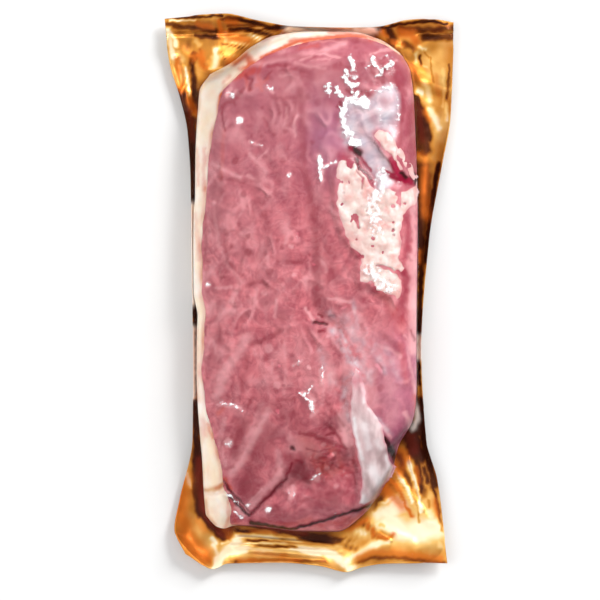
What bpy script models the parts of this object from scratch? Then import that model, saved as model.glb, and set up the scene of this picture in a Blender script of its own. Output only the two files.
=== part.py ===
"""Vacuum-packed raw duck breast, lying flat: gold foil back, breast with its skin and fat, clear film front.

Metres, +Z up. The pack lies on its foil, flesh side up, with its length along Y. The origin is the centre
of the pack's box, at the surface that it lies on.

Every piece is laid out on one plan of the pack. Across the breast a plan position runs from -1 (left side)
to 1 (right side), along it from -1 (lower end) to 1 (upper end), and outside the breast each runs on to 2
in size at the edge of the pouch.
"""

import bmesh
import bpy
import numpy as np

MM = 0.001

# Driving sizes
BREAST_LENGTH = 216 * MM
BREAST_WIDTH = 95 * MM
BREAST_THICKNESS = 26 * MM
FAT_THICKNESS = 6.5 * MM
FOIL_THICKNESS = 0.4 * MM
FILM_THICKNESS = 0.3 * MM
CLEARANCE = 0.35 * MM

# How far film and foil stand off the breast's edge, which they bridge, and the film above its top
FILM_BRIDGE = 1.2 * MM
FOIL_BRIDGE = 0.35 * MM
FILM_ABOVE = 0.7 * MM

# The rim beside the breast where foil and film meet, and how widely the breast rounds off to it
RIM_AT_SIDES = 8.5 * MM
RIM_AT_ENDS = 5.0 * MM
RIM_HALF = 1.0 * MM
SHOULDER_AT_SIDES = 15 * MM
SHOULDER_AT_ENDS = 19 * MM
UNDERSIDE_ROUND = 10 * MM

# Outline of the pouch: points in millimetres along each side, left to right or lower to upper
POUCH_LEFT = ((-53, -111.5), (-57.6, -101), (-55.5, -89), (-50, -62), (-49.4, -37), (-49.6, -3),
              (-50.7, 49), (-56, 83.5), (-60.2, 100.5), (-62, 118))
POUCH_RIGHT = ((59.3, -115.5), (54.8, -80), (50, -63), (47.8, -24), (51.2, 23), (57.2, 57.5),
               (60.4, 75), (61.6, 100.5), (62, 116.5))
POUCH_LOWER = ((-53, -111.5), (-41, -117.8), (-35, -115.5), (-12, -115), (4.7, -116.5),
               (16.3, -119.2), (23, -117), (33, -115.5), (48, -115.3), (59.3, -115.5))
POUCH_UPPER = ((-62, 118), (-36, 120), (-22, 117), (-8, 114.9), (13.5, 114.2), (30, 114.6),
               (43, 117.3), (53, 117.8), (62, 116.5))

# Outline of the breast with its fat, in the same way
BREAST_LEFT = ((-41.3, -99), (-44.5, -90), (-46.5, -70), (-48, -45), (-47.3, -14), (-48.6, 20),
               (-48.6, 60), (-47.5, 88), (-42.5, 95))
BREAST_RIGHT = ((30, -86.5), (35.7, -75.7), (39, -64), (46.3, -39), (46.4, -15), (46.9, 30),
                (45.5, 80), (43.8, 95), (40, 102.6))
BREAST_LOWER = ((-41.3, -99), (-38, -101), (-25, -99.8), (-4, -101.8), (12, -102), (22, -96),
                (30, -86.5))
BREAST_UPPER = ((-42.5, 95), (-33, 100.5), (-24, 106.5), (-14, 111), (0, 112.6), (18, 112.4),
                (30, 109.3), (40, 102.6))

# Share of the pouch's half side that lies beside the breast, the rest belonging to the corners
BESIDE_SHARE = 0.84
BEYOND_SHARE = 0.62

# Along the breast: its thickness as a share of the full one, and the widths of fat that show, in millimetres
CREST = ((-1, 0.62), (-0.75, 0.80), (-0.3, 0.97), (0.2, 1.0), (0.65, 0.95), (1, 0.80))
FAT_SHOWN_LEFT = ((-1, 8), (-0.8, 8.4), (-0.62, 4.5), (-0.3, 3), (0.1, 3.2), (0.5, 5.5), (0.8, 9.5), (1, 11))
FAT_SHOWN_UPPER = ((-1, 10), (-0.6, 7.5), (-0.1, 5), (0.4, 2.2), (1, 1))
LEAN_INSET = 0.5 * MM
LEAN_EDGE = 1.2 * MM
LEAN_UNDERSIDE_ROUND = 7 * MM
FAT_INSET = 1.4 * MM

# Pads on the lean: centre and half size in millimetres, turn in degrees, taper towards the lower end, rise
FAT_PATCH = {"centre": (29, 34), "half": (15, 34), "turn": 2, "taper": 0.28, "rise": 1.5 * MM}
TENDON = {"centre": (23.5, -65), "half": (7, 20), "turn": 11, "taper": -0.3, "rise": 1.0 * MM}
PAD_DEPTH = 1.6 * MM
PAD_EDGE = 0.45 * MM

# Height of the pouch's edge above the table in millimetres, along each side
LIFT_LEFT = ((-2, 5.5), (-1, 4.5), (0, 7), (1, 5), (2, 7.5))
LIFT_RIGHT = ((-2, 5), (-1, 4.5), (0, 7), (1, 4), (2, 6.5))
LIFT_LOWER = ((-2, 5.5), (-1.1, 1.2), (-0.4, 3.8), (0.45, 1.0), (1.1, 5), (2, 5))
LIFT_UPPER = ((-2, 7.5), (-1, 7), (0, 6.5), (0.6, 5.5), (1.2, 7), (2, 6.5))
TROUGH_FLOOR = 1.6 * MM

# Hollows between the muscles, and under them creases in the foil's margins. Each is a line with its two
# ends, the height along it and its half width, all in millimetres.
HOLLOWS = (
    ((0, 82), (1, -2), -0.9, 6.0),
    ((15, 66), (38, 73), -0.8, 4.0),
    ((4, -8), (11, -14), -1.0, 4.0),
    ((14, -40), (20, -84), -1.2, 4.0),
    ((10, -58), (-4, -80), -1.8, 5.0),
    ((18, -72), (-10, -86), -2.2, 6.0),
    ((-36, -83), (-26, -98), -1.0, 4.0),
)
CREASES = (
    ((-45, 97), (-61, 108), 1.6, 3.0),
    ((-38, 99), (-41, 117), 2.0, 2.6),
    ((-30, 104), (-30, 118), -1.4, 2.6),
    ((42, 103), (58, 112), 1.5, 3.0),
    ((45, 92), (60, 88), 1.6, 3.0),
    ((-42, -101), (-53, -108), 1.6, 3.0),
    ((-24, -103), (-41, -117), 1.8, 2.6),
    ((12, -105), (16, -118), 1.8, 2.6),
    ((24, -98), (44, -106), 1.6, 2.4),
    ((35, -80), (52, -98), 1.8, 2.4),
)

# Plan positions of the grid lines: the breast's shoulders, and on out to the pouch's edge
BREAST_SIDE_LINES = (0.70, 0.84, 0.94, 0.985, 1.0)
BREAST_END_LINES = (0.80, 0.90, 0.96, 0.99, 1.0)
MARGIN_LINES = (1.14, 1.34, 1.6, 1.84, 2.0)
MIDDLE_CELLS = (8, 14)
SHEET_MIDDLE_CELLS = (10, 16)


def smooth_curve(stations):
    """A function through stations (position, value) that is smooth and doesn't overshoot."""
    at, value = np.array(stations, float).T
    step = np.diff(at)
    slope = np.diff(value) / step
    tangent = np.empty_like(value)
    rising = slope[1:] * slope[:-1] > 0
    total = np.where(rising, slope[1:] + slope[:-1], 1)
    tangent[1:-1] = np.where(rising, 2 * slope[1:] * slope[:-1] / total, 0)
    tangent[0], tangent[-1] = slope[0], slope[-1]

    def curve(position):
        x = np.clip(position, at[0], at[-1])
        i = np.clip(np.searchsorted(at, x) - 1, 0, len(step) - 1)
        u = (x - at[i]) / step[i]
        ends = value[i] * (1 + 2 * u) * (1 - u) ** 2 + value[i + 1] * u * u * (3 - 2 * u)
        return ends + step[i] * (tangent[i] * u * (1 - u) ** 2 - tangent[i + 1] * u * u * (1 - u))

    return curve


def side_curve(points):
    """A function from -1..1 to the point in metres at that share of a side's length."""
    points = np.array(points, float) * MM
    run = np.concatenate([[0], np.cumsum(np.hypot(*np.diff(points, axis=0).T))])
    run = 2 * run / run[-1] - 1
    x_of, y_of = (smooth_curve(np.column_stack([run, coordinate])) for coordinate in points.T)
    return lambda share: np.stack([x_of(share), y_of(share)], axis=-1)


pouch_left, pouch_right, pouch_lower, pouch_upper = map(
    side_curve, (POUCH_LEFT, POUCH_RIGHT, POUCH_LOWER, POUCH_UPPER))
breast_left, breast_right, breast_lower, breast_upper = map(
    side_curve, (BREAST_LEFT, BREAST_RIGHT, BREAST_LOWER, BREAST_UPPER))
crest, fat_shown_left, fat_shown_upper = map(smooth_curve, (CREST, FAT_SHOWN_LEFT, FAT_SHOWN_UPPER))
lift_left, lift_right, lift_lower, lift_upper = map(
    smooth_curve, (LIFT_LEFT, LIFT_RIGHT, LIFT_LOWER, LIFT_UPPER))


def choose(test, yes, no):
    return np.where(np.asarray(test)[..., None], yes, no)


def breast_plan(a, b):
    """The point of the breast's outline patch at a, b, each from -1 to 1."""
    u, v = (a[..., None] + 1) / 2, (b[..., None] + 1) / 2
    lower_left, lower_right = breast_lower(-1.0), breast_lower(1.0)
    upper_left, upper_right = breast_upper(-1.0), breast_upper(1.0)
    across = (1 - u) * breast_left(b) + u * breast_right(b)
    along = (1 - v) * breast_lower(a) + v * breast_upper(a)
    corners = ((1 - u) * (1 - v) * lower_left + u * (1 - v) * lower_right
               + (1 - u) * v * upper_left + u * v * upper_right)
    return across + along - corners


def pouch_side(side, position, share):
    """The pouch's edge at plan position -2 to 2, where the corners take over at -1 and 1."""
    beside = np.clip(position, -1, 1) * share
    corner = np.clip(np.abs(position) - 1, 0, 1) * (1 - share) * np.sign(position)
    return side(beside + corner)


def pouch_beside(across, along):
    return choose(across < 0, pouch_side(pouch_left, along, BESIDE_SHARE),
                  pouch_side(pouch_right, along, BESIDE_SHARE))


def pouch_beyond(across, along):
    return choose(along < 0, pouch_side(pouch_lower, across, BEYOND_SHARE),
                  pouch_side(pouch_upper, across, BEYOND_SHARE))


def plan(across, along):
    """Where a plan position lies on the table, in metres."""
    a, b = np.clip(across, -1, 1), np.clip(along, -1, 1)
    m, n = (np.clip(np.abs(q) - 1, 0, 1)[..., None] for q in (across, along))
    inside = breast_plan(a, b)
    beside, beyond = pouch_beside(across, along), pouch_beyond(across, along)
    foot_beside, foot_beyond = pouch_beside(across, b), pouch_beyond(a, along)
    corner = pouch_beside(across, 2 * np.sign(along))
    near = (1 - m) * inside + m * foot_beside
    far = (1 - m) * foot_beyond + m * corner
    ruled_along = (1 - n) * near + n * beyond
    ruled_across = (1 - m) * ((1 - n) * inside + n * foot_beyond) + m * beside
    return ruled_along + ruled_across - (1 - n) * near - n * far


def quarter_round(distance, width):
    """0 at the edge, rising as a quarter ellipse to 1 at the given width inside it."""
    return np.sqrt(1 - (1 - np.clip(distance / width, 0, 1)) ** 2)


def smooth_step(x):
    x = np.clip(x, 0, 1)
    return x * x * (3 - 2 * x)


def edge_round(across, along, side_width, end_width, spread=0.0):
    """0 at the outline of the breast, or a little outside it, and 1 well inside it, with a round between."""
    to_side = (1 - np.clip(np.abs(across), 0, 1)) * BREAST_WIDTH / 2 + spread
    to_end = (1 - np.clip(np.abs(along), 0, 1)) * BREAST_LENGTH / 2 + spread
    return quarter_round(to_side, side_width) * quarter_round(to_end, end_width)


def line_relief(point, lines):
    """Height that a list of lines, HOLLOWS or CREASES, adds at points of the table."""
    height = np.zeros(point.shape[:-1])
    for start, end, rise, half_width in lines:
        start, end = np.array(start) * MM, np.array(end) * MM
        line = end - start
        share = np.clip(((point - start) @ line) / (line @ line), 0, 1)
        away = np.linalg.norm(point - start - share[..., None] * line, axis=-1)
        height += rise * MM * np.exp(-(away / (half_width * MM)) ** 2)
    return height


def rim_height(along):
    return RIM_AT_ENDS + (RIM_AT_SIDES - RIM_AT_ENDS) * (1 - np.clip(along, -1, 1) ** 4)


def breast_height(across, along, spread=0.0):
    """Upper surface of the breast, lean and fat as one, without the pads on it."""
    dome = edge_round(across, along, SHOULDER_AT_SIDES, SHOULDER_AT_ENDS, spread)
    crown = BREAST_THICKNESS * crest(along) * (1 - 0.10 * (across + 0.15) ** 2)
    crown += line_relief(plan(across, along), HOLLOWS)
    edge = rim_height(along) + RIM_HALF
    return edge + (crown - edge) * dome


def breast_underside(across, along, spread=0.0):
    """Lower surface of the breast: flat, and rounded up to the rim."""
    flat = edge_round(across, along, UNDERSIDE_ROUND, UNDERSIDE_ROUND, spread)
    edge = rim_height(along) - RIM_HALF
    return edge + (FOIL_THICKNESS + CLEARANCE - edge) * flat


def outside(across, along):
    """Shares of the way from the breast to the pouch's edge, across and along."""
    return np.clip(np.abs(across) - 1, 0, 1), np.clip(np.abs(along) - 1, 0, 1)


def margin_width(across, along):
    """Distance from the breast to the pouch's edge at this place, in metres."""
    m, n = outside(across, along)
    outer = plan(np.where(m > 0, 2 * np.sign(across), across), np.where(n > 0, 2 * np.sign(along), along))
    return np.linalg.norm(outer - plan(np.clip(across, -1, 1), np.clip(along, -1, 1)), axis=-1)


def foil_height(across, along):
    """Upper surface of the foil: under the breast, up to the rim, and out over the margin."""
    m, n = outside(across, along)
    out = np.maximum(m, n)
    inside = breast_underside(across, along, FOIL_BRIDGE) - CLEARANCE
    beside = np.where(across < 0, lift_left(along), lift_right(along))
    beyond = np.where(along < 0, lift_lower(across), lift_upper(across))
    lift = MM * (m * beside + n * beyond) / np.where(out > 0, m + n, 1)
    level = inside + (lift - inside) * smooth_step(out)
    wide = smooth_step((margin_width(across, along) - 4 * MM) / (12 * MM))
    level -= np.maximum(level - TROUGH_FLOOR, 0) * wide * np.sin(np.pi * out) ** 0.8
    level += line_relief(plan(across, along), CREASES) * smooth_step(out / 0.25)
    return np.where(out > 0, np.maximum(level, FOIL_THICKNESS), inside)


def pad_place(pad, point):
    """A point of the table in a pad's own frame, where the pad's outline is the unit circle."""
    turn = np.radians(pad["turn"])
    x, y = np.moveaxis(point - np.array(pad["centre"]) * MM, -1, 0)
    v = (-x * np.sin(turn) + y * np.cos(turn)) / (pad["half"][1] * MM)
    u = (x * np.cos(turn) + y * np.sin(turn)) / (pad["half"][0] * MM * (1 + pad["taper"] * v))
    return u, v


def film_height(across, along):
    """Lower surface of the film, drawn tight over the breast and its pads and down onto the foil."""
    m, n = outside(across, along)
    out = np.maximum(m, n)
    top = breast_height(across, along, FILM_BRIDGE) + FILM_ABOVE
    for pad in (FAT_PATCH, TENDON):
        away = np.hypot(*pad_place(pad, plan(across, along)))
        top += 1.5 * pad["rise"] * smooth_step((1.7 - away) / 0.7)
    foil = foil_height(across, along) + CLEARANCE
    fallen = np.maximum(out, out * margin_width(across, along) / (5 * MM))
    return foil + (top - foil) * (1 - np.clip(fallen, 0, 1)) ** 2


def material(name, colour, roughness, metallic=0.0, transmission=0.0):
    made = bpy.data.materials.new(name)
    made.use_nodes = True
    shader = made.node_tree.nodes["Principled BSDF"]
    shader.inputs["Base Color"].default_value = (*colour, 1)
    shader.inputs["Roughness"].default_value = roughness
    shader.inputs["Metallic"].default_value = metallic
    shader.inputs["Transmission Weight"].default_value = transmission
    return made


def grid(name, columns, rows, closed=False):
    """A flat grid, or a closed body with a second grid under it.

    Returns the mesh, and for each vertex its column value, its row value and whether it is in the top grid.
    """
    mesh = bpy.data.meshes.new(name)
    bm = bmesh.new()
    bmesh.ops.create_grid(bm, x_segments=len(columns) - 1, y_segments=len(rows) - 1, size=1)
    if closed:
        bmesh.ops.solidify(bm, geom=bm.faces[:], thickness=1)
    bm.to_mesh(mesh)
    bm.free()
    x, y, z = np.array([vertex.co for vertex in mesh.vertices]).T
    across = np.interp(x, np.linspace(-1, 1, len(columns)), columns)
    along = np.interp(y, np.linspace(-1, 1, len(rows)), rows)
    return mesh, across, along, z > (z.min() + z.max()) / 2


def move_vertices(mesh, points):
    mesh.vertices.foreach_set("co", points.astype(np.float32).ravel())
    mesh.update()


def add_object(name, mesh, finish, collection):
    mesh.materials.append(finish)
    mesh.shade_smooth()
    made = bpy.data.objects.new(name, mesh)
    collection.objects.link(made)
    return made


def both_ways(middle, lines):
    """Grid lines evenly spaced in the middle, then the given ones to either side of it."""
    inner = np.linspace(-lines[0], lines[0], middle + 1)
    return np.concatenate([-np.array(lines[:0:-1]), inner, lines[1:]])


def sheet(name, height, thickness, offset, finish, collection):
    """A thin sheet over the whole plan, its thickness added by Solidify on one side of it."""
    columns = both_ways(SHEET_MIDDLE_CELLS[0], BREAST_SIDE_LINES + MARGIN_LINES)
    rows = both_ways(SHEET_MIDDLE_CELLS[1], BREAST_END_LINES + MARGIN_LINES)
    mesh, across, along, _ = grid(name, columns, rows)
    move_vertices(mesh, np.column_stack([plan(across, along), height(across, along)]))
    made = add_object(name, mesh, finish, collection)
    solidify = made.modifiers.new("thickness", "SOLIDIFY")
    solidify.thickness = thickness
    solidify.offset = offset
    return made


def slab(name, columns, rows, place, finish, collection):
    """A closed body of two grids, laid where place says.

    place takes the vertices' columns and rows and gives their points on the table and their two heights.
    """
    mesh, across, along, on_top = grid(name, columns, rows, closed=True)
    point, upper, lower = place(across, along)
    move_vertices(mesh, np.column_stack([point, np.where(on_top, upper, lower)]))
    return add_object(name, mesh, finish, collection)


def place_whole_breast(across, along):
    """The body of lean and fat together, drawn in where only the lean reaches the outline."""
    right = 1 - FAT_INSET / (BREAST_WIDTH / 2)
    lower = 1 - FAT_INSET / (BREAST_LENGTH / 2)
    a = np.minimum(across, right)
    b = np.maximum(along, -lower)
    return plan(a, b), breast_height(a, b), breast_underside(a, b)


def place_lean(grow=0.0, above=0.0):
    """The lean muscle, or that grown by some distance and raised above, as a cutter for the fat."""
    def place(across, along):
        half_width, half_length = BREAST_WIDTH / 2, BREAST_LENGTH / 2
        first = -1 + (LEAN_INSET - grow) / half_length
        last = 1 - (fat_shown_upper(across) * MM - grow) / half_length
        b = first + (along + 1) / 2 * (last - first)
        left = -1 + (fat_shown_left(b) * MM - grow) / half_width
        right = 1 - (LEAN_INSET - grow) / half_width
        a = left + (across + 1) / 2 * (right - left)
        upper = breast_height(a, b)
        flat = edge_round(across, along, LEAN_UNDERSIDE_ROUND, LEAN_UNDERSIDE_ROUND)
        lower = upper - LEAN_EDGE - np.maximum(upper - LEAN_EDGE - FAT_THICKNESS, 0) * flat
        return plan(a, b), upper + above, lower - grow
    return place


def place_pad(pad, grow=0.0):
    """A pad half sunk in the lean, or that grown by some distance, as a cutter for the lean."""
    def place(across, along):
        u = across * np.sqrt(1 - along ** 2 / 2)
        v = along * np.sqrt(1 - across ** 2 / 2)
        bulge = quarter_round(1 - np.hypot(u, v), 0.6)
        turn = np.radians(pad["turn"])
        x = u * (pad["half"][0] * MM * (1 + pad["taper"] * v) + grow)
        y = v * (pad["half"][1] * MM + grow)
        point = np.stack([x * np.cos(turn) - y * np.sin(turn), x * np.sin(turn) + y * np.cos(turn)], axis=-1)
        point += np.array(pad["centre"]) * MM
        surface = lean_surface(point)
        upper = surface + PAD_EDGE + (pad["rise"] - PAD_EDGE) * bulge
        lower = surface - PAD_EDGE - (PAD_DEPTH - PAD_EDGE) * bulge
        return point, upper + (2 * pad["rise"] if grow else 0), lower - grow
    return place


def lean_surface(point):
    """Upper surface of the breast under points of the table, found by moving towards them on the plan."""
    across, along = point[..., 0] / (BREAST_WIDTH / 2), point[..., 1] / (BREAST_LENGTH / 2)
    for _ in range(20):
        miss = point - plan(across, along)
        across = np.clip(across + miss[..., 0] / (BREAST_WIDTH / 2), -1, 1)
        along = np.clip(along + miss[..., 1] / (BREAST_LENGTH / 2), -1, 1)
    return breast_height(across, along)


def cut(body, cutter):
    """Takes the cutter out of the body, and keeps it in the scene as a hidden guide."""
    cutter.hide_render = True
    cutter.display_type = "WIRE"
    boolean = body.modifiers.new(cutter.name, "BOOLEAN")
    boolean.operation = "DIFFERENCE"
    boolean.solver = "EXACT"
    boolean.object = cutter


def build():
    for old in list(bpy.data.objects):
        bpy.data.objects.remove(old, do_unlink=True)
    pack = bpy.data.collections.new("packed_duck_breast")
    cutters = bpy.data.collections.new("cutters")
    for collection in (pack, cutters):
        bpy.context.scene.collection.children.link(collection)

    gold = material("gold_foil", (0.83, 0.55, 0.18), 0.22, metallic=1.0)
    film = material("clear_film", (0.98, 0.98, 0.98), 0.08, transmission=1.0)
    lean = material("raw_lean", (0.55, 0.13, 0.17), 0.35)
    fat = material("skin_fat", (0.90, 0.74, 0.60), 0.45)
    pale_fat = material("fat_patch", (0.93, 0.80, 0.72), 0.40)
    sinew = material("tendon", (0.78, 0.66, 0.70), 0.30)

    wide = both_ways(MIDDLE_CELLS[0], BREAST_SIDE_LINES)
    long = both_ways(MIDDLE_CELLS[1], BREAST_END_LINES)
    pad_lines = np.linspace(-1, 1, 9)

    sheet("foil_back", foil_height, FOIL_THICKNESS, -1, gold, pack)
    sheet("clear_film", film_height, FILM_THICKNESS, 1, film, pack)
    breast_fat = slab("skin_fat", wide, long, place_whole_breast, fat, pack)
    breast_lean = slab("breast_lean", wide, long, place_lean(), lean, pack)
    cut(breast_fat, slab("lean_seat", wide, long, place_lean(CLEARANCE, 3 * MM), lean, cutters))
    for name, pad, finish in (("fat_patch", FAT_PATCH, pale_fat), ("tendon", TENDON, sinew)):
        slab(name, pad_lines, pad_lines, place_pad(pad), finish, pack)
        cut(breast_lean, slab(name + "_seat", pad_lines, pad_lines, place_pad(pad, CLEARANCE), finish, cutters))


build()
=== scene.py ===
"""Vacuum-packed raw duck breast on white, seen from straight above.

The breast lies flesh side up in a flat pouch: a crumpled gold foil back, the skin fat showing as a pale
rim to the left and above, the lean meat with a patch of white fat and a silvery tendon, and over it all a
clear film that the vacuum has drawn tight. Lengths are in metres, +Y is up in the picture.
"""

import bmesh
import bpy
import numpy as np
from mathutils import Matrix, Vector


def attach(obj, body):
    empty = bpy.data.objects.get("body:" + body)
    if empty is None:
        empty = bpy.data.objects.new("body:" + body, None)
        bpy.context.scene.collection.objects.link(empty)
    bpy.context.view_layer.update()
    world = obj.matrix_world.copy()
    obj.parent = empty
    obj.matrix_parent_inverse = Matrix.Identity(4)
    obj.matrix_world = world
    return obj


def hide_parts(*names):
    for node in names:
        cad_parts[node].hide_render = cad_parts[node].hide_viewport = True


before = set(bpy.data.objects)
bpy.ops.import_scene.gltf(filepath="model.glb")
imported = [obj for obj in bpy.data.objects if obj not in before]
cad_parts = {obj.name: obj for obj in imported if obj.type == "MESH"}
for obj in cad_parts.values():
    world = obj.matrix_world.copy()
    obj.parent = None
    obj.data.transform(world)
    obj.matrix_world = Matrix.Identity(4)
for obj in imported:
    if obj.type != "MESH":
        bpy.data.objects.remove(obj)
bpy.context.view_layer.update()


# The back of the pouch is one sheet of gold lacquered foil, cut straight and pulled into a waist by the
# vacuum. It cradles the breast's underside, turns down beside it into a trough, and rises again to its
# crimped edge, with folds running out to the corners.

MM = 0.001
BREAST_LENGTH = 216 * MM
BREAST_WIDTH = 95 * MM
BREAST_THICKNESS = 26 * MM
FOIL_THICKNESS = 0.4 * MM
CLEARANCE = 0.35 * MM
FOIL_BRIDGE = 0.35 * MM
RIM_AT_SIDES = 8.5 * MM
RIM_AT_ENDS = 5.0 * MM
RIM_HALF = 1.0 * MM
UNDERSIDE_ROUND = 10 * MM
TROUGH_FLOOR = 1.6 * MM

# Outline of the pouch and of the breast: points in millimetres along each side
POUCH_LEFT = ((-53, -111.5), (-57.6, -101), (-55.5, -89), (-50, -62), (-49.8, -37), (-50, -3),
              (-50.7, 49), (-52.1, 70.5), (-54.9, 83.5), (-59.9, 100.5), (-62, 118))
POUCH_RIGHT = ((59.3, -115.5), (54.8, -80), (50, -63), (47.8, -24), (51.2, 23), (57.2, 57.5),
               (60.4, 75), (61.6, 100.5), (62, 116.5))
POUCH_LOWER = ((-53, -111.5), (-41, -117.8), (-35, -115.5), (-12, -115), (4.7, -116.5),
               (16.3, -119.2), (23, -117), (33, -115.5), (48, -115.3), (59.3, -115.5))
POUCH_UPPER = ((-62, 118), (-36, 120), (-22, 117), (-8, 114.9), (13.5, 114.2), (30, 114.6),
               (43, 117.3), (53, 117.8), (62, 116.5))
BREAST_LEFT = (
    (-42.3, -97.5), (-44.4, -94), (-44.7, -90.5), (-45.2, -84.5), (-45.8, -72), (-46.9, -59), (-47.8, -46),
    (-48.2, -33), (-48.1, -18), (-47.8, -9), (-48.6, -4.5), (-49.5, 1), (-49.6, 20), (-49.4, 35),
    (-48.9, 41), (-48.7, 60), (-47.6, 80), (-47, 87), (-42.5, 94.2),
)
BREAST_RIGHT = (
    (30, -86.5), (35.7, -75.7), (39, -64), (41.5, -59.8), (44.2, -55.3), (46, -48), (46.4, -39), (46.4, -15),
    (46.9, 30), (45.5, 80), (43.8, 95), (40, 102.6),
)
BREAST_LOWER = (
    (-42.3, -97.5), (-39.6, -99.8), (-36.6, -100.6), (-32, -99.4), (-25, -99.6), (-4, -101.8), (12, -102),
    (22, -96), (30, -86.5),
)
BREAST_UPPER = ((-42.5, 94.2), (-33, 99.4), (-24, 106.5), (-14, 111), (0, 112.6), (18, 112.4),
                (30, 109.3), (40, 102.6))

# Share of each side of the pouch that faces the breast: the corners take the rest
BESIDE_SHARE = 0.84
BEYOND_SHARE = 0.62

# Height of the pouch's edge above the table in millimetres, along each side
LIFT_LEFT = ((-2, 7.5), (-1, 4.5), (0, 7), (1, 5), (2, 7.5))
LIFT_RIGHT = ((-2, 6.5), (-1, 4.5), (0, 7), (1, 4), (2, 6.5))
LIFT_LOWER = ((-2, 7.5), (-1.1, 5), (-0.4, 6), (0.45, 4.5), (1.1, 6.5), (2, 7.5))
LIFT_UPPER = ((-2, 7.5), (-1, 7), (0, 6.5), (0.6, 5.5), (1.2, 7), (2, 6.5))

# Folds of the foil: each a line with its two ends, the height along it and its half width, in millimetres
FOLDS = (
    ((-45, 97), (-61, 108), 0.9, 3.5),
    ((-38, 99), (-41, 117), 1.4, 2.6),
    ((-30, 104), (-30, 118), -1.4, 2.6),
    ((42, 103), (58, 112), 1.5, 3.0),
    ((45, 92), (60, 88), 1.6, 3.0),
    ((-42, -101), (-53, -108), 0.7, 4.0),
    ((-24, -103), (-41, -117), 1.0, 3.5),
    ((12, -105), (16, -118), 1.3, 2.6),
    ((24, -98), (44, -106), 0.7, 2.4),
    ((35, -80), (52, -98), 1.0, 2.4),
    ((-61, 111.5), (-14, 112.5), -1.1, 0.9),
    ((47, 112), (62, 111.5), -1.0, 0.9),
    ((-57, 101), (-51, 79), 1.2, 1.5),
    ((-50, 100), (-54, 88), -1.0, 1.2),
    ((37, -75.7), (49, -93), 1.0, 0.7),
    ((43, -71), (48, -88), 0.9, 0.6),
    ((20, -97), (35, -106), 0.8, 0.8),
    ((-48, -80), (-55, -100), 0.6, 3.0),
    ((-30, -104.5), (8, -107.5), 0.9, 0.9),
    ((-32, -108), (12, -111), 0.9, 1.1),
    ((-26, -111.5), (6, -114), 0.6, 0.8),
)

# Small crumples of the foil in its margins, which fade out beside the breast
EDGE_FOLD_HEIGHT = 0.18 * MM
EDGE_FOLD_WIDTH = 5 * MM
EDGE_FOLD_STRETCH = 9
FACET_HEIGHT = 0.18 * MM
FACET_SIZE = 19 * MM
BUCKLE_HEIGHT = 0.34 * MM
BUCKLE_SIZE = 16 * MM
CRUMPLES_FADE = 4 * MM

# The trough beside the breast starts where the margin is this wide, and grows over the onset's further width
NARROW_MARGIN = 4 * MM
TROUGH_ONSET = 12 * MM

# Colours of the foil, which are painted reflections: from its darkest reflections and shade at 0 to its
# brightest highlights at 1, the orange painted into its reflections, and the colours of what lies on it. Its
# tone is painted darker beside the breast as shade.
GOLD_REFLECTION_TONES = (
    (0.00, (0.040, 0.006, 0.001)),
    (0.22, (0.220, 0.060, 0.007)),
    (0.48, (0.580, 0.240, 0.035)),
    (0.72, (0.800, 0.490, 0.150)),
    (1.00, (0.940, 0.810, 0.560)),
)
ORANGE_REFLECTION = (0.62, 0.135, 0.010)
JUICE_ON_GOLD = (0.14, 0.012, 0.006)
SMEARED_FAT = (0.92, 0.80, 0.72)
PLAIN_TONE = 0.55
SHADE_BY_BREAST = 0.34
SHADE_WIDTH = 3.0 * MM
MOTTLE_STRENGTH = 0.14
HIGHLIGHT_STRENGTH = 0.48
SHADE_AND_DARK_REFLECTION_STRENGTH = 0.72
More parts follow.
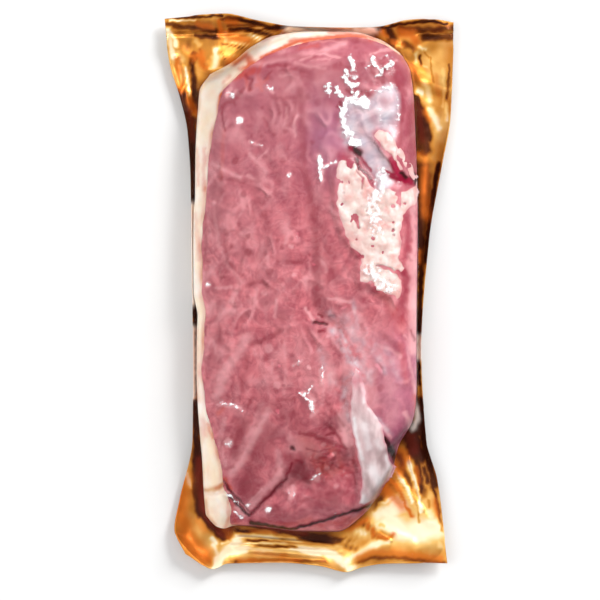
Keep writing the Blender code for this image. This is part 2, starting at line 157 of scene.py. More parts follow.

# Painted light on the foil, first its shade and dark reflections, then its orange reflections, then its
# highlights: points in millimetres, half width and strength of each streak
FOIL_SHADE_AND_DARK_REFLECTIONS = (
    (((-61.5, 118.7), (-53.3, 118.5), (-44.7, 118.9), (-37.4, 119.5)), 0.6, 0.8),
    (((-60.6, 115.7), (-54.6, 114.4), (-46.9, 114.4), (-40, 113.1)), 1.5, 0.7),
    (((-48.6, 110.9), (-42.6, 110.5), (-39.1, 110.1)), 1.3, 0.65),
    (((-55.5, 112.2), (-51.2, 110.5), (-52, 104.9)), 2.1, 0.35),
    (((-37.4, 117.8), (-33.1, 118.2), (-28.8, 118.2)), 1.1, 0.7),
    (((-30.5, 117.8), (-27.1, 117), (-22.8, 116.1)), 0.8, 1),
    (((-34.8, 115.2), (-29.7, 115.5), (-24.5, 115.2)), 0.8, 0.5),
    (((-34, 113.5), (-27.9, 114), (-22.8, 112.7), (-17.6, 111.4)), 0.9, 0.95),
    (((-22.8, 116.1), (-20.2, 115.7), (-18.1, 114.4)), 0.9, 0.85),
    (((-37.4, 107.5), (-33.1, 106.6), (-27.5, 105.8)), 0.6, 0.55),
    (((-37.4, 104.1), (-36.5, 101.5), (-35.3, 98.9)), 0.6, 0.45),
    (((-49.4, 103.2), (-48.6, 101.9)), 1.4, 0.8),
    (((-50.3, 100.6), (-49.9, 96.3), (-49.4, 90.3), (-49, 85.1), (-48.2, 79.1)), 1.3, 0.7),
    (((-46.9, 104.9), (-46, 100.6), (-45.1, 97.6)), 1, 0.45),
    (((-57.2, 100.6), (-56.8, 96.3)), 0.6, 0.3),
    (((-55, 86), (-53.8, 80.8), (-52, 74.8), (-50.7, 67.1)), 1.9, 1.2),
    (((-50.7, 74), (-50.3, 61.9), (-49.9, 49), (-49.4, 37.8)), 1.9, 1.4),
    (((-42.6, 95.9), (-38.3, 95.9)), 0.5, 0.35),
    (((-10.8, 115.2), (-3.9, 114.4), (3.9, 113.5)), 0.5, 0.9),
    (((-16.8, 114.4), (-9.9, 114.4)), 0.9, 1),
    (((-49.2, -4.7), (-48.6, -9), (-49, -13.8)), 1.1, 1.3),
    (((-48.8, -15.5), (-48.8, -28.4), (-48.8, -43.4)), 0.5, 0.6),
    (((-48.8, -46.4), (-48.6, -58.5), (-48.2, -69.2)), 1.1, 1.1),
    (((-47.3, -67.1), (-46.4, -80), (-46, -90.7), (-42.6, -97.2), (-38.7, -101.9),
       (-36.5, -104.1)), 2.4, 1.25),
    (((-48.6, -71.4), (-49, -84.3), (-46.9, -95)), 1.7, 0.7),
    (((-31.8, -101.5), (-27.5, -101.9), (-23.2, -101.9)), 0.7, 0.55),
    (((-34.8, -100.2), (-34.4, -104.9)), 1.1, 0.6),
    (((-24.9, -98.9), (-20.2, -99.8), (-15.9, -100.2)), 1, 1),
    (((-14.6, -101), (-8.2, -101.9), (-1.7, -103.2)), 1.4, 0.95),
    (((-3, -104.1), (2.6, -104.9), (9, -105.8), (12.5, -106.2)), 1.6, 1.05),
    (((-27.1, -105.8), (-21.9, -106.2), (-17.6, -105.8)), 0.5, 0.55),
    (((-22.8, -108.4), (-14.6, -108.6), (-6, -108.4)), 0.6, 0.6),
    (((-31.4, -115.2), (-21.1, -114.4), (-10.3, -114), (-1.7, -114.4), (6.9, -114.8)), 0.8, 0.5),
    (((13.3, -107.1), (17.6, -109.2), (20.2, -110.1)), 0.9, 0.4),
    (((14.2, -104.9), (18.5, -106.2)), 0.7, 0.35),
    (((-46.9, -110.1), (-44.3, -113.5), (-41.7, -115.7)), 1.3, 0.35),
    (((20.2, -115.7), (27.1, -113.1), (39.1, -113.1), (49.9, -114.4), (58, -115.2)), 0.9, 0.5),
    (((27.9, -92.5), (31.4, -87.3), (35.7, -80.8)), 1.1, 0.4),
    (((34, -85.1), (36.5, -83.4)), 1.3, 0.3),
    (((38.3, -69.2), (40.9, -72.2), (40, -74)), 1.7, 0.5),
    (((43.4, -59.3), (45.1, -63.6), (45.1, -67.1), (47.7, -69.2)), 3.4, 1.25),
    (((48.6, -56.3), (49.9, -64.9), (52, -73.5), (53.8, -82.1)), 1.7, 1.05),
    (((46.4, -72.2), (47.7, -79.1), (48.2, -85.1)), 1.5, 0.75),
    (((49.4, -74.8), (51.2, -80.8)), 1.1, 0.7),
    (((53.3, -82.1), (54.6, -88.6), (55.9, -95), (57.2, -101.5)), 0.8, 0.75),
    (((49.4, -84.3), (49.4, -86.9)), 1.3, 0.45),
    (((40, -74.8), (42.6, -79.1), (44.7, -84.3), (46.4, -88.6)), 1, 0.65),
    (((44.3, -80), (45.1, -85.1), (46.4, -91.2), (47.3, -98)), 0.5, 0.5),
    (((25.4, -99.8), (28.8, -104.1), (32.2, -105.3), (35.7, -104.5)), 0.9, 0.5),
    (((30.5, -99.3), (32.2, -99.8)), 0.7, 0.4),
    (((51.2, -88.6), (51.6, -91.2)), 0.7, 0.35),
    (((20.2, -97.6), (18.5, -99.8)), 0.9, 0.5),
    (((26.2, 113.5), (32.7, 114), (38.3, 115.7), (44.3, 116.5), (52, 117), (58.9, 115.7)), 0.7, 0.9),
    (((39.1, 114), (47.7, 113.5), (56.3, 113.5), (61.5, 114)), 1.5, 0.65),
    (((49.4, 110.5), (56.3, 110.1), (61.5, 110.5)), 1.9, 0.8),
    (((34.4, 112.7), (36.1, 110.1), (35.3, 107.5)), 1.7, 0.95),
    (((41.3, 107.5), (43.4, 106.6), (45.1, 104.9)), 1.5, 0.55),
    (((52, 101.5), (52.5, 96.3), (53.3, 91.2)), 0.6, 0.45),
    (((47.7, 102.3), (48.2, 98.9)), 0.7, 0.75),
    (((44.7, 98), (45.6, 96.3)), 0.9, 0.8),
    (((60.2, 98.5), (59.8, 89.9), (59.3, 83.4)), 0.6, 0.55),
    (((49.4, 104.9), (51.2, 101.5)), 0.6, 0.4),
    (((52, 104.9), (57.2, 83.4)), 9.5, 0.15),
    (((-51.2, 109.2), (-40.4, 100.6)), 7.7, 0.26),
    (((45.6, 83.8), (47.3, 79.1), (49.4, 74.8), (51.2, 67.1)), 1.7, 1.25),
    (((47.3, 78.3), (48.2, 68.4), (49.4, 61.9)), 2.8, 1.2),
    (((49.4, 54.2), (48.6, 40.4), (48.2, 23.2), (47.7, 12)), 3.9, 0.55),
    (((55.5, 55.5), (52.9, 40.4), (51.2, 27.5), (49.9, 13.8)), 1.1, 0.85),
    (((48.2, 13.8), (47.9, 1.7), (47.5, -6.9), (47.1, -17.6)), 1, 1),
    (((46.9, -28.4), (47.1, -33.5), (47.1, -38.7)), 0.6, 1.1),
    (((47.3, -45.6), (48.2, -52), (47.7, -59.3)), 1.5, 1.2),
    (((32.2, -79.1), (35.3, -82.1), (37.4, -84.7), (40, -88.6)), 0.8, 0.38),
    (((-48.6, 103.2), (-46.4, 101.5), (-45.6, 98.9)), 1.5, 0.45),
    (((-35.7, 104.9), (-31.8, 104.1)), 1.7, 0.3),
    (((-52.9, 117), (-40, 116.1), (-29.7, 114.8)), 1.7, 0.25),
    (((-52.9, -88.6), (-53.8, -101.5), (-48.6, -112.7)), 4.7, 0.16),
    (((18.5, -97.2), (22.8, -98.9), (27.1, -101.9), (34, -103.2)), 0.9, 0.4),
    (((-51.2, 116.1), (-44.3, 115.7), (-37.4, 115.2)), 2.1, 0.35),
    (((47.7, 51.6), (48.2, 41.3)), 1.5, 0.9),
)
# Painted orange reflections on the foil
FOIL_ORANGE_REFLECTIONS = (
    (((-47.7, 115.7), (-41.7, 114.4)), 1.3, 0.6),
    (((-38.7, 117), (-37.8, 110.9)), 1.1, 0.8),
    (((-35.7, 117), (-31.4, 116.5)), 1.3, 0.7),
    (((-36.1, 111.4), (-31.4, 110.5), (-26.2, 108.8)), 1.9, 0.8),
    (((-49.9, 101.5), (-46.4, 103.2), (-46, 99.8)), 1.9, 0.75),
    (((-46.4, 98.9), (-44.3, 96.8)), 1.3, 0.7),
    (((-56.8, 101.5), (-55.9, 94.6), (-54.6, 87.7)), 1.5, 0.75),
    (((-51.6, 83.4), (-49.4, 78.3)), 1.5, 0.75),
    (((-33.1, 99.3), (-29.7, 100.6), (-25.8, 101.5)), 1.9, 1),
    (((39.1, 112.2), (44.3, 111.4), (46, 108.4)), 2.1, 0.9),
    (((35.7, 108.4), (40, 107.1)), 1.3, 0.6),
    (((31.8, 112.7), (33.5, 110.5)), 0.9, 0.7),
    (((45.1, 97.2), (49.4, 94.6)), 2.1, 0.7),
    (((54.6, 93.7), (55.5, 86)), 1.3, 0.45),
    (((46.9, 93.3), (49.4, 91.2)), 2.1, 0.4),
    (((49.4, 78.3), (52, 74.8)), 1.3, 0.5),
    (((47.7, 59.3), (49.4, 57.6)), 2.1, 0.5),
    (((49.4, 53.3), (49.4, 40.4), (50.3, 33.5)), 2.1, 0.6),
    (((47.3, 18.1), (47.3, 13.8)), 1.1, 0.5),
    (((-53.8, -79.1), (-55, -92.9), (-51.2, -106.6), (-44.3, -112.7)), 3.9, 0.75),
    (((-35.7, -100.6), (-34.8, -104.1)), 1.5, 0.7),
    (((-48.6, -97.2), (-45.1, -101.5)), 1.7, 0.4),
    (((-25.4, -101.9), (-14.6, -102.3)), 0.8, 0.5),
    (((-23.2, -111.4), (-10.3, -112.7)), 1.3, 0.5),
    (((-30.5, -114.4), (-3.9, -114.4)), 0.9, 0.6),
    (((13.3, -100.6), (18.5, -100.6), (21.9, -98), (24.5, -97.2)), 1.3, 0.8),
    (((25.4, -99.8), (28.8, -103.6), (33.1, -104.9), (36.5, -103.2)), 1.1, 0.9),
    (((34.8, -80), (37.4, -82.1), (40, -86.9), (41.7, -91.2), (44.3, -95.5)), 1, 1),
    (((36.5, -81.7), (38.3, -84.3)), 1.7, 0.6),
    (((39.1, -67.1), (41.7, -71.4), (40, -74)), 1.7, 0.8),
    (((41.7, -67.9), (43, -72.2)), 1.1, 0.6),
    (((46, -74.8), (47.3, -80.8)), 1.1, 0.5),
    (((53.8, -88.6), (55, -95)), 1.3, 0.6),
    (((21.1, -113.5), (27.1, -110.9), (39.1, -111.4), (56.3, -113.5)), 1.7, 0.7),
    (((33.1, -65.4), (35.7, -70.5), (38.3, -76.5)), 2.6, 0.9),
    (((32.2, -82.6), (36.5, -87.7), (40, -91.2)), 2.6, 0.85),
)
# Painted highlights on the foil
FOIL_HIGHLIGHTS = (
    (((-59.8, 117.2), (-54.6, 117.2), (-48.6, 117.4)), 0.5, 1.1),
    (((-59.8, 112.2), (-58, 109.6), (-57.2, 106.6)), 1.2, 1.2),
    (((-58.9, 106.6), (-57.2, 103.2)), 1.1, 0.5),
    (((-48.6, 108.4), (-47.3, 107.1)), 1.4, 0.5),
    (((-40, 105.3), (-40.2, 101.5)), 1.2, 1.3),
    (((-40, 101.5), (-40.4, 97.6)), 2.1, 1.3),
    (((-42.6, 96.8), (-36.5, 96.8)), 0.9, 0.9),
    (((-35.7, 112.2), (-35.7, 108.8)), 0.9, 0.45),
    (((-34, 108.4), (-27.1, 107.1)), 0.7, 0.55),
    (((-24.5, 111.4), (-21.5, 109.6)), 1, 1.2),
    (((-34.8, 104.5), (-32.2, 102.3)), 2.1, 0.4),
    (((-22.8, 114.4), (-17.6, 113.1)), 0.4, 0.5),
    (((-53.3, 97.2), (-52.5, 93.7)), 0.8, 1.1),
    (((-52, 92), (-51.4, 85.6)), 0.8, 0.9),
    (((-56.3, 104.1), (-55, 100.6)), 1.3, 0.5),
    (((-55.9, 98), (-55, 91.2)), 1, 0.3),
    (((47.7, 106.2), (49.9, 104.9)), 0.9, 0.75),
    (((45.8, 104.1), (46, 99.8)), 0.8, 0.7),
    (((37.4, 106.6), (40, 106.2)), 0.7, 0.5),
    (((49.4, 98), (50.7, 97.2)), 0.7, 0.6),
    (((46.9, 86.9), (48.6, 86.4)), 1.5, 1.3),
    (((49.9, 90.3), (51.2, 86.9), (52, 83.4)), 1.8, 0.85),
    (((57.6, 96.3), (58, 87.7), (57.6, 80.8)), 1.1, 0.5),
    (((52, 79.1), (53.8, 75.7), (55.5, 71.4)), 1.6, 0.9),
    (((58.9, 81.7), (59.3, 74.8)), 0.9, 0.6),
    (((47.7, 59.3), (49, 57.6)), 1.3, 0.35),
    (((50.3, 37), (50.3, 33.5)), 0.7, 0.4),
    (((47.1, 18.1), (47.3, 13.8)), 0.9, 0.35),
    (((-39.6, -117.8), (-39.1, -114.4), (-35.7, -110.9), (-32.2, -107.9), (-31, -105.8)), 2.4, 1.2),
    (((-35.7, -110.9), (-27.5, -109.6)), 2.1, 1.1),
    (((-32.2, -104.1), (-21.1, -104.1), (-12.5, -104.9)), 1, 0.95),
    (((-9, -105.3), (-3, -106.2)), 0.9, 0.6),
    (((-27.9, -107.1), (-20.2, -107.1), (-10.3, -107.1)), 0.7, 0.7),
    (((-8.2, -109.2), (-3.9, -110.1)), 1.1, 0.9),
    (((-3.9, -109.6), (1.3, -110.5), (7.3, -110.9), (11.6, -112.7), (15.9, -116.5)), 1.9, 1.2),
    (((-41.7, -104.9), (-40, -107.1)), 1.1, 0.9),
    (((-37.4, -107.1), (-34.8, -106.2)), 0.9, 0.9),
    (((12, -106.2), (12.9, -107.9)), 1.1, 0.9),
    (((15.5, -115.7), (17.2, -117.8)), 1.7, 1.1),
    (((18.5, -112.7), (21.9, -110.9), (27.1, -107.9), (34, -106.2)), 1.7, 0.9),
    (((21.1, -101.9), (23.6, -102.8)), 1.7, 0.8),
    (((29.7, -95), (35.7, -92.9), (38.3, -90.7)), 3.9, 1.15),
    (((33.1, -98), (39.1, -101.5), (47.7, -102.3), (54.6, -101.5)), 5.6, 1.1),
    (((45.1, -80), (46, -86.4), (47.7, -92.9)), 1.3, 0.8),
    (((42.6, -72.2), (44.3, -76.5), (46, -82.6), (47.3, -88.6)), 1, 1.1),
    (((36.5, -74.8), (38.7, -78.3), (41.3, -82.1), (43.4, -86), (44.3, -89.4)), 0.8, 1.2),
    (((38.3, -86.4), (38.3, -88.6)), 1.3, 0.8),
    (((30.1, -89.9), (32.7, -89.9), (35.7, -87.3)), 0.9, 0.95),
    (((52, -93.7), (53.8, -101.5), (56.3, -107.9)), 1.7, 0.6),
    (((-52.5, -77.4), (-51.2, -82.6)), 0.9, 1),
    (((-33.1, -109.2), (-16.8, -109.6), (-3.9, -110.1), (9, -110.9)), 2.1, 0.55),
    (((-29.7, -115.2), (-8.2, -114.4)), 1.1, 0.6),
    (((-40.9, -107.9), (-39.1, -112.7)), 1.3, 0.8),
    (((15.9, -113.5), (20.2, -117)), 1.3, 0.8),
    (((-60.6, 113.5), (-59.8, 109.2), (-58.9, 104.9), (-58, 101.5)), 1.4, 1),
    (((53.8, 100.6), (56.3, 85.6)), 5.6, 0.28),
    (((15, -94.6), (20.2, -98.5)), 2.1, 0.45),
)

# Where juice has run out on the foil
FOIL_JUICE = (
    (((-35.7, -101.5), (-33.1, -100.2)), 1.5, 0.7),
    (((-20.2, -100.2), (-10.3, -101.5), (-1.7, -102.8)), 1.3, 0.7),
    (((14.2, -100.2), (18.5, -98.9)), 1.1, 0.6),
    (((-47.3, -71.4), (-46.4, -82.1), (-45.6, -91.6), (-41.7, -98), (-37.4, -103.2)), 1.9, 0.75),
    (((38.3, -69.2), (40, -73.1)), 1.7, 0.7),
    (((43.4, -61.1), (45.1, -67.1)), 2.6, 0.6),
    (((-51.2, 79.1), (-49.9, 66.2)), 1.3, 0.5),
    (((46.4, 81.3), (48.6, 66.2)), 1.7, 0.6),
    (((-33.1, 99.3), (-27.1, 101.5)), 1.1, 0.35),
)

# Where the foil's edge is pale with smeared fat
FOIL_SMEARS = (
    (((-50.1, 37.8), (-50.1, 18.9), (-49.9, -3.4)), 1.7, 1.2),
    (((-49.9, -14.6), (-49.9, -43.9)), 1.3, 1),
    (((47.3, -18.1), (47.3, -27.5)), 1.1, 0.9),
    (((-9, 113.1), (2.6, 112.2), (15.5, 112.2), (27.9, 113.1)), 1.5, 1.1),
    (((45.1, -47.3), (46.9, -53.3), (44.7, -57.6)), 1.3, 0.6),
)


def smooth_curve(stations):
    """A function through stations (position, value) that is smooth and doesn't overshoot."""
    at, value = np.array(stations, float).T
    step = np.diff(at)
    slope = np.diff(value) / step
    tangent = np.empty_like(value)
    rising = slope[1:] * slope[:-1] > 0
    total = np.where(rising, slope[1:] + slope[:-1], 1)
    tangent[1:-1] = np.where(rising, 2 * slope[1:] * slope[:-1] / total, 0)
    tangent[0], tangent[-1] = slope[0], slope[-1]

    def curve(position):
        x = np.clip(position, at[0], at[-1])
        i = np.clip(np.searchsorted(at, x) - 1, 0, len(step) - 1)
        u = (x - at[i]) / step[i]
        ends = value[i] * (1 + 2 * u) * (1 - u) ** 2 + value[i + 1] * u * u * (3 - 2 * u)
        return ends + step[i] * (tangent[i] * u * (1 - u) ** 2 - tangent[i + 1] * u * u * (1 - u))

    return curve


def side_curve(points):
    """A function from -1..1 to the point in metres at that share of a side's length."""
    points = np.array(points, float) * MM
    run = np.concatenate([[0], np.cumsum(np.hypot(*np.diff(points, axis=0).T))])
    run = 2 * run / run[-1] - 1
    x_of, y_of = (smooth_curve(np.column_stack([run, coordinate])) for coordinate in points.T)
    return lambda share: np.stack([x_of(share), y_of(share)], axis=-1)


pouch_left, pouch_right, pouch_lower, pouch_upper = map(
    side_curve, (POUCH_LEFT, POUCH_RIGHT, POUCH_LOWER, POUCH_UPPER))
breast_left, breast_right, breast_lower, breast_upper = map(
    side_curve, (BREAST_LEFT, BREAST_RIGHT, BREAST_LOWER, BREAST_UPPER))
lift_left, lift_right, lift_lower, lift_upper = map(
    smooth_curve, (LIFT_LEFT, LIFT_RIGHT, LIFT_LOWER, LIFT_UPPER))


def choose(test, yes, no):
    return np.where(np.asarray(test)[..., None], yes, no)


def breast_plan(a, b):
    """The point of the breast's outline patch at a, b, each from -1 to 1."""
    u, v = (a[..., None] + 1) / 2, (b[..., None] + 1) / 2
    lower_left, lower_right = breast_lower(-1.0), breast_lower(1.0)
    upper_left, upper_right = breast_upper(-1.0), breast_upper(1.0)
    across = (1 - u) * breast_left(b) + u * breast_right(b)
    along = (1 - v) * breast_lower(a) + v * breast_upper(a)
    corners = ((1 - u) * (1 - v) * lower_left + u * (1 - v) * lower_right
               + (1 - u) * v * upper_left + u * v * upper_right)
    return across + along - corners


def pouch_side(side, position, share):
    """The pouch's edge at plan position -2 to 2, where the corners take over at -1 and 1."""
    beside = np.clip(position, -1, 1) * share
    corner = np.clip(np.abs(position) - 1, 0, 1) * (1 - share) * np.sign(position)
    return side(beside + corner)


def pouch_beside(across, along):
    return choose(across < 0, pouch_side(pouch_left, along, BESIDE_SHARE),
                  pouch_side(pouch_right, along, BESIDE_SHARE))


def pouch_beyond(across, along):
    return choose(along < 0, pouch_side(pouch_lower, across, BEYOND_SHARE),
                  pouch_side(pouch_upper, across, BEYOND_SHARE))


def outside(across, along):
    """Shares of the way from the breast to the pouch's edge, across and along."""
    return np.clip(np.abs(across) - 1, 0, 1), np.clip(np.abs(along) - 1, 0, 1)


def plan(across, along):
    """Where a plan position lies on the table: -1 to 1 is the breast, and on to 2 the pouch's margin."""
    a, b = np.clip(across, -1, 1), np.clip(along, -1, 1)
    m, n = (share[..., None] for share in outside(across, along))
    inside = breast_plan(a, b)
    beside, beyond = pouch_beside(across, along), pouch_beyond(across, along)
    foot_beside, foot_beyond = pouch_beside(across, b), pouch_beyond(a, along)
    corner = pouch_beside(across, 2 * np.sign(along))
    near = (1 - m) * inside + m * foot_beside
    far = (1 - m) * foot_beyond + m * corner
    ruled_along = (1 - n) * near + n * beyond
    ruled_across = (1 - m) * ((1 - n) * inside + n * foot_beyond) + m * beside
    return ruled_along + ruled_across - (1 - n) * near - n * far


def quarter_round(distance, width):
    """0 at the edge, rising as a quarter ellipse to 1 at the given width inside it."""
    return np.sqrt(1 - (1 - np.clip(distance / width, 0, 1)) ** 2)


def outwards(m, n):
    """One share of the way out from two, rounded where they meet at the corners."""
    return np.minimum((m ** 4 + n ** 4) ** 0.25, 1)


def smooth_step(x):
    x = np.clip(x, 0, 1)
    return x * x * (3 - 2 * x)


def edge_round(across, along, side_width, end_width, spread=0.0):
    """0 at the outline of the breast, or a little outside it, and 1 well inside it, with a round between."""
    to_side = (1 - np.clip(np.abs(across), 0, 1)) * BREAST_WIDTH / 2 + spread
    to_end = (1 - np.clip(np.abs(along), 0, 1)) * BREAST_LENGTH / 2 + spread
    return quarter_round(to_side, side_width) * quarter_round(to_end, end_width)


def from_line(point, ends):
    """Distance in metres of points of the table from a line through the given points in millimetres."""
    away = np.full(point.shape[:-1], 1.0)
    for start, end in zip(ends[:-1], ends[1:]):
        start, end = np.array(start) * MM, np.array(end) * MM
        line = end - start
        share = np.clip(((point - start) @ line) / (line @ line), 0, 1)
        away = np.minimum(away, np.linalg.norm(point - start - share[..., None] * line, axis=-1))
    return away


def line_relief(point, lines):
    """Height that a list of folds or hollows adds at points of the table."""
    height = np.zeros(point.shape[:-1])
    for start, end, rise, half_width in lines:
        height += rise * MM * np.exp(-(from_line(point, (start, end)) / (half_width * MM)) ** 2)
    return height


def noise(point, size, seed):
    """Smooth random values from about -1 to 1 at points of the table, with features of the given size."""
    angle = np.random.default_rng(seed).uniform(0, 2 * np.pi, (128, 128))
    place = point / size
    cell = np.floor(place).astype(int)
    part = place - cell
    ease = part ** 3 * (part * (6 * part - 15) + 10)
    total = np.zeros(point.shape[:-1])
    for i in (0, 1):
        for j in (0, 1):
            turn = angle[(cell[..., 0] + i) % 128, (cell[..., 1] + j) % 128]
            rise = np.cos(turn) * (part[..., 0] - i) + np.sin(turn) * (part[..., 1] - j)
            share_x = ease[..., 0] if i else 1 - ease[..., 0]
            share_y = ease[..., 1] if j else 1 - ease[..., 1]
            total += rise * share_x * share_y
    return 1.5 * total


def layered_noise(point, size, seed, layers=3):
    """Noise with finer and weaker noise added to it."""
    return sum(noise(point, size / 2 ** k, seed + k) / 2 ** k for k in range(layers))


def ragged(point, shift, size, seed):
    """Points of the table moved about by noise, so that what is drawn there gets uneven edges."""
    return point + shift * np.stack([noise(point, size, seed), noise(point, size, seed + 1)], axis=-1)


def streaks(point, lines, crispness=2.4):
    """0 to 1 over a list of streaks, soft at their sides and a little ragged."""
    moved = ragged(point, 0.5 * MM, 2.5 * MM, 71)
    total = np.zeros(point.shape[:-1])
    for ends, half_width, strength in lines:
        share = from_line(moved, ends) / (half_width * MM)
        total = np.maximum(total, strength * np.exp(-share ** crispness))
    return total


def creases(point, size, seed):
    """0 to 1, with 1 along the sharp lines of a crumpled sheet."""
    bent = ragged(point, 0.35 * size, size, seed + 1)
    return (1 - np.clip(np.abs(noise(bent, size, seed)) * 2.2, 0, 1)) ** 2


def rim_height(along):
    return RIM_AT_ENDS + (RIM_AT_SIDES - RIM_AT_ENDS) * (1 - np.clip(along, -1, 1) ** 4)


def breast_underside(across, along, spread=0.0):
    """Lower surface of the breast: flat, and rounded up to the rim."""
    flat = edge_round(across, along, UNDERSIDE_ROUND, UNDERSIDE_ROUND, spread)
    edge = rim_height(along) - RIM_HALF
    return edge + (FOIL_THICKNESS + CLEARANCE - edge) * flat


def margin_width(across, along):
    """Distance from the breast to the pouch's edge at this place, in metres."""
    m, n = outside(across, along)
    outer = plan(np.where(m > 0, 2 * np.sign(across), across), np.where(n > 0, 2 * np.sign(along), along))
    return np.linalg.norm(outer - plan(np.clip(across, -1, 1), np.clip(along, -1, 1)), axis=-1)


def crumple(across, along):
    """Height of the foil's small folds in its margins."""
    m, n = outside(across, along)
    point = plan(across, along)
    distance = outwards(m, n) * margin_width(across, along)
    side_share = m / np.where(m + n > 0, m + n, 1)
    beside = np.stack([point[..., 1] / EDGE_FOLD_STRETCH, distance], axis=-1)
    beyond = np.stack([point[..., 0] / EDGE_FOLD_STRETCH, distance], axis=-1)
    edge_folds = (side_share * noise(beside, EDGE_FOLD_WIDTH, 11)
                  + (1 - side_share) * noise(beyond, EDGE_FOLD_WIDTH, 12))
    facets = creases(point, FACET_SIZE, 21)
    buckles = noise(point, BUCKLE_SIZE, 41)
    height = EDGE_FOLD_HEIGHT * edge_folds + FACET_HEIGHT * facets + BUCKLE_HEIGHT * buckles
    return height * smooth_step(distance / CRUMPLES_FADE)


def foil_height(across, along):
    """Upper surface of the foil: under the breast, up to the rim, and out over the margin."""
    m, n = outside(across, along)
    out = outwards(m, n)
    inside = breast_underside(across, along, FOIL_BRIDGE) - CLEARANCE
    beside = np.where(across < 0, lift_left(along), lift_right(along))
    beyond = np.where(along < 0, lift_lower(across), lift_upper(across))
    lift = MM * (m * beside + n * beyond) / np.where(out > 0, m + n, 1)
    level = inside + (lift - inside) * smooth_step(out)
    wide = smooth_step((margin_width(across, along) - NARROW_MARGIN) / TROUGH_ONSET)
    level -= np.maximum(level - TROUGH_FLOOR, 0) * wide * np.sin(np.pi * out) ** 0.8
    level += line_relief(plan(across, along), FOLDS) * smooth_step(out / 0.25)
    level += crumple(across, along)
    return np.where(out > 0, np.maximum(level, FOIL_THICKNESS), inside)


def grid(name, columns, rows):
    """A flat grid mesh, and the column and row value of each of its vertices."""
    mesh = bpy.data.meshes.new(name)
    bm = bmesh.new()
    bmesh.ops.create_grid(bm, x_segments=len(columns) - 1, y_segments=len(rows) - 1, size=1)
    bm.to_mesh(mesh)
    bm.free()
    flat = vertex_places(mesh)
    across = np.interp(flat[:, 0], np.linspace(-1, 1, len(columns)), columns)
    along = np.interp(flat[:, 1], np.linspace(-1, 1, len(rows)), rows)
    return mesh, across, along


def vertex_places(mesh):
    places = np.empty(3 * len(mesh.vertices))
    mesh.vertices.foreach_get("co", places)
    return places.reshape(-1, 3)


def move_vertices(mesh, point, height):
    mesh.vertices.foreach_set("co", np.column_stack([point, height]).astype(np.float32).ravel())
    mesh.update()


def paint(mesh, name, values):
    """Stores a value for each vertex under a name that the material reads."""
    layer = mesh.attributes.new(name, "FLOAT", "POINT")
    layer.data.foreach_set("value", np.asarray(values, np.float32))


def add_piece(name, mesh, finish, node):
    """Puts a mesh in the scene in place of a node of the frame."""
    mesh.materials.append(finish)
    mesh.shade_smooth()
    piece = bpy.data.objects.new(name, mesh)
    bpy.context.scene.collection.objects.link(piece)
    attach(piece, "root")
    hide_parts(node)
    return piece


def spaced(*stretches):
    """Grid lines through (start, end, cells) stretches that follow one another."""
    lines = [np.linspace(start, end, cells + 1)[:-1] for start, end, cells in stretches]
    return np.concatenate(lines + [[stretches[-1][1]]])


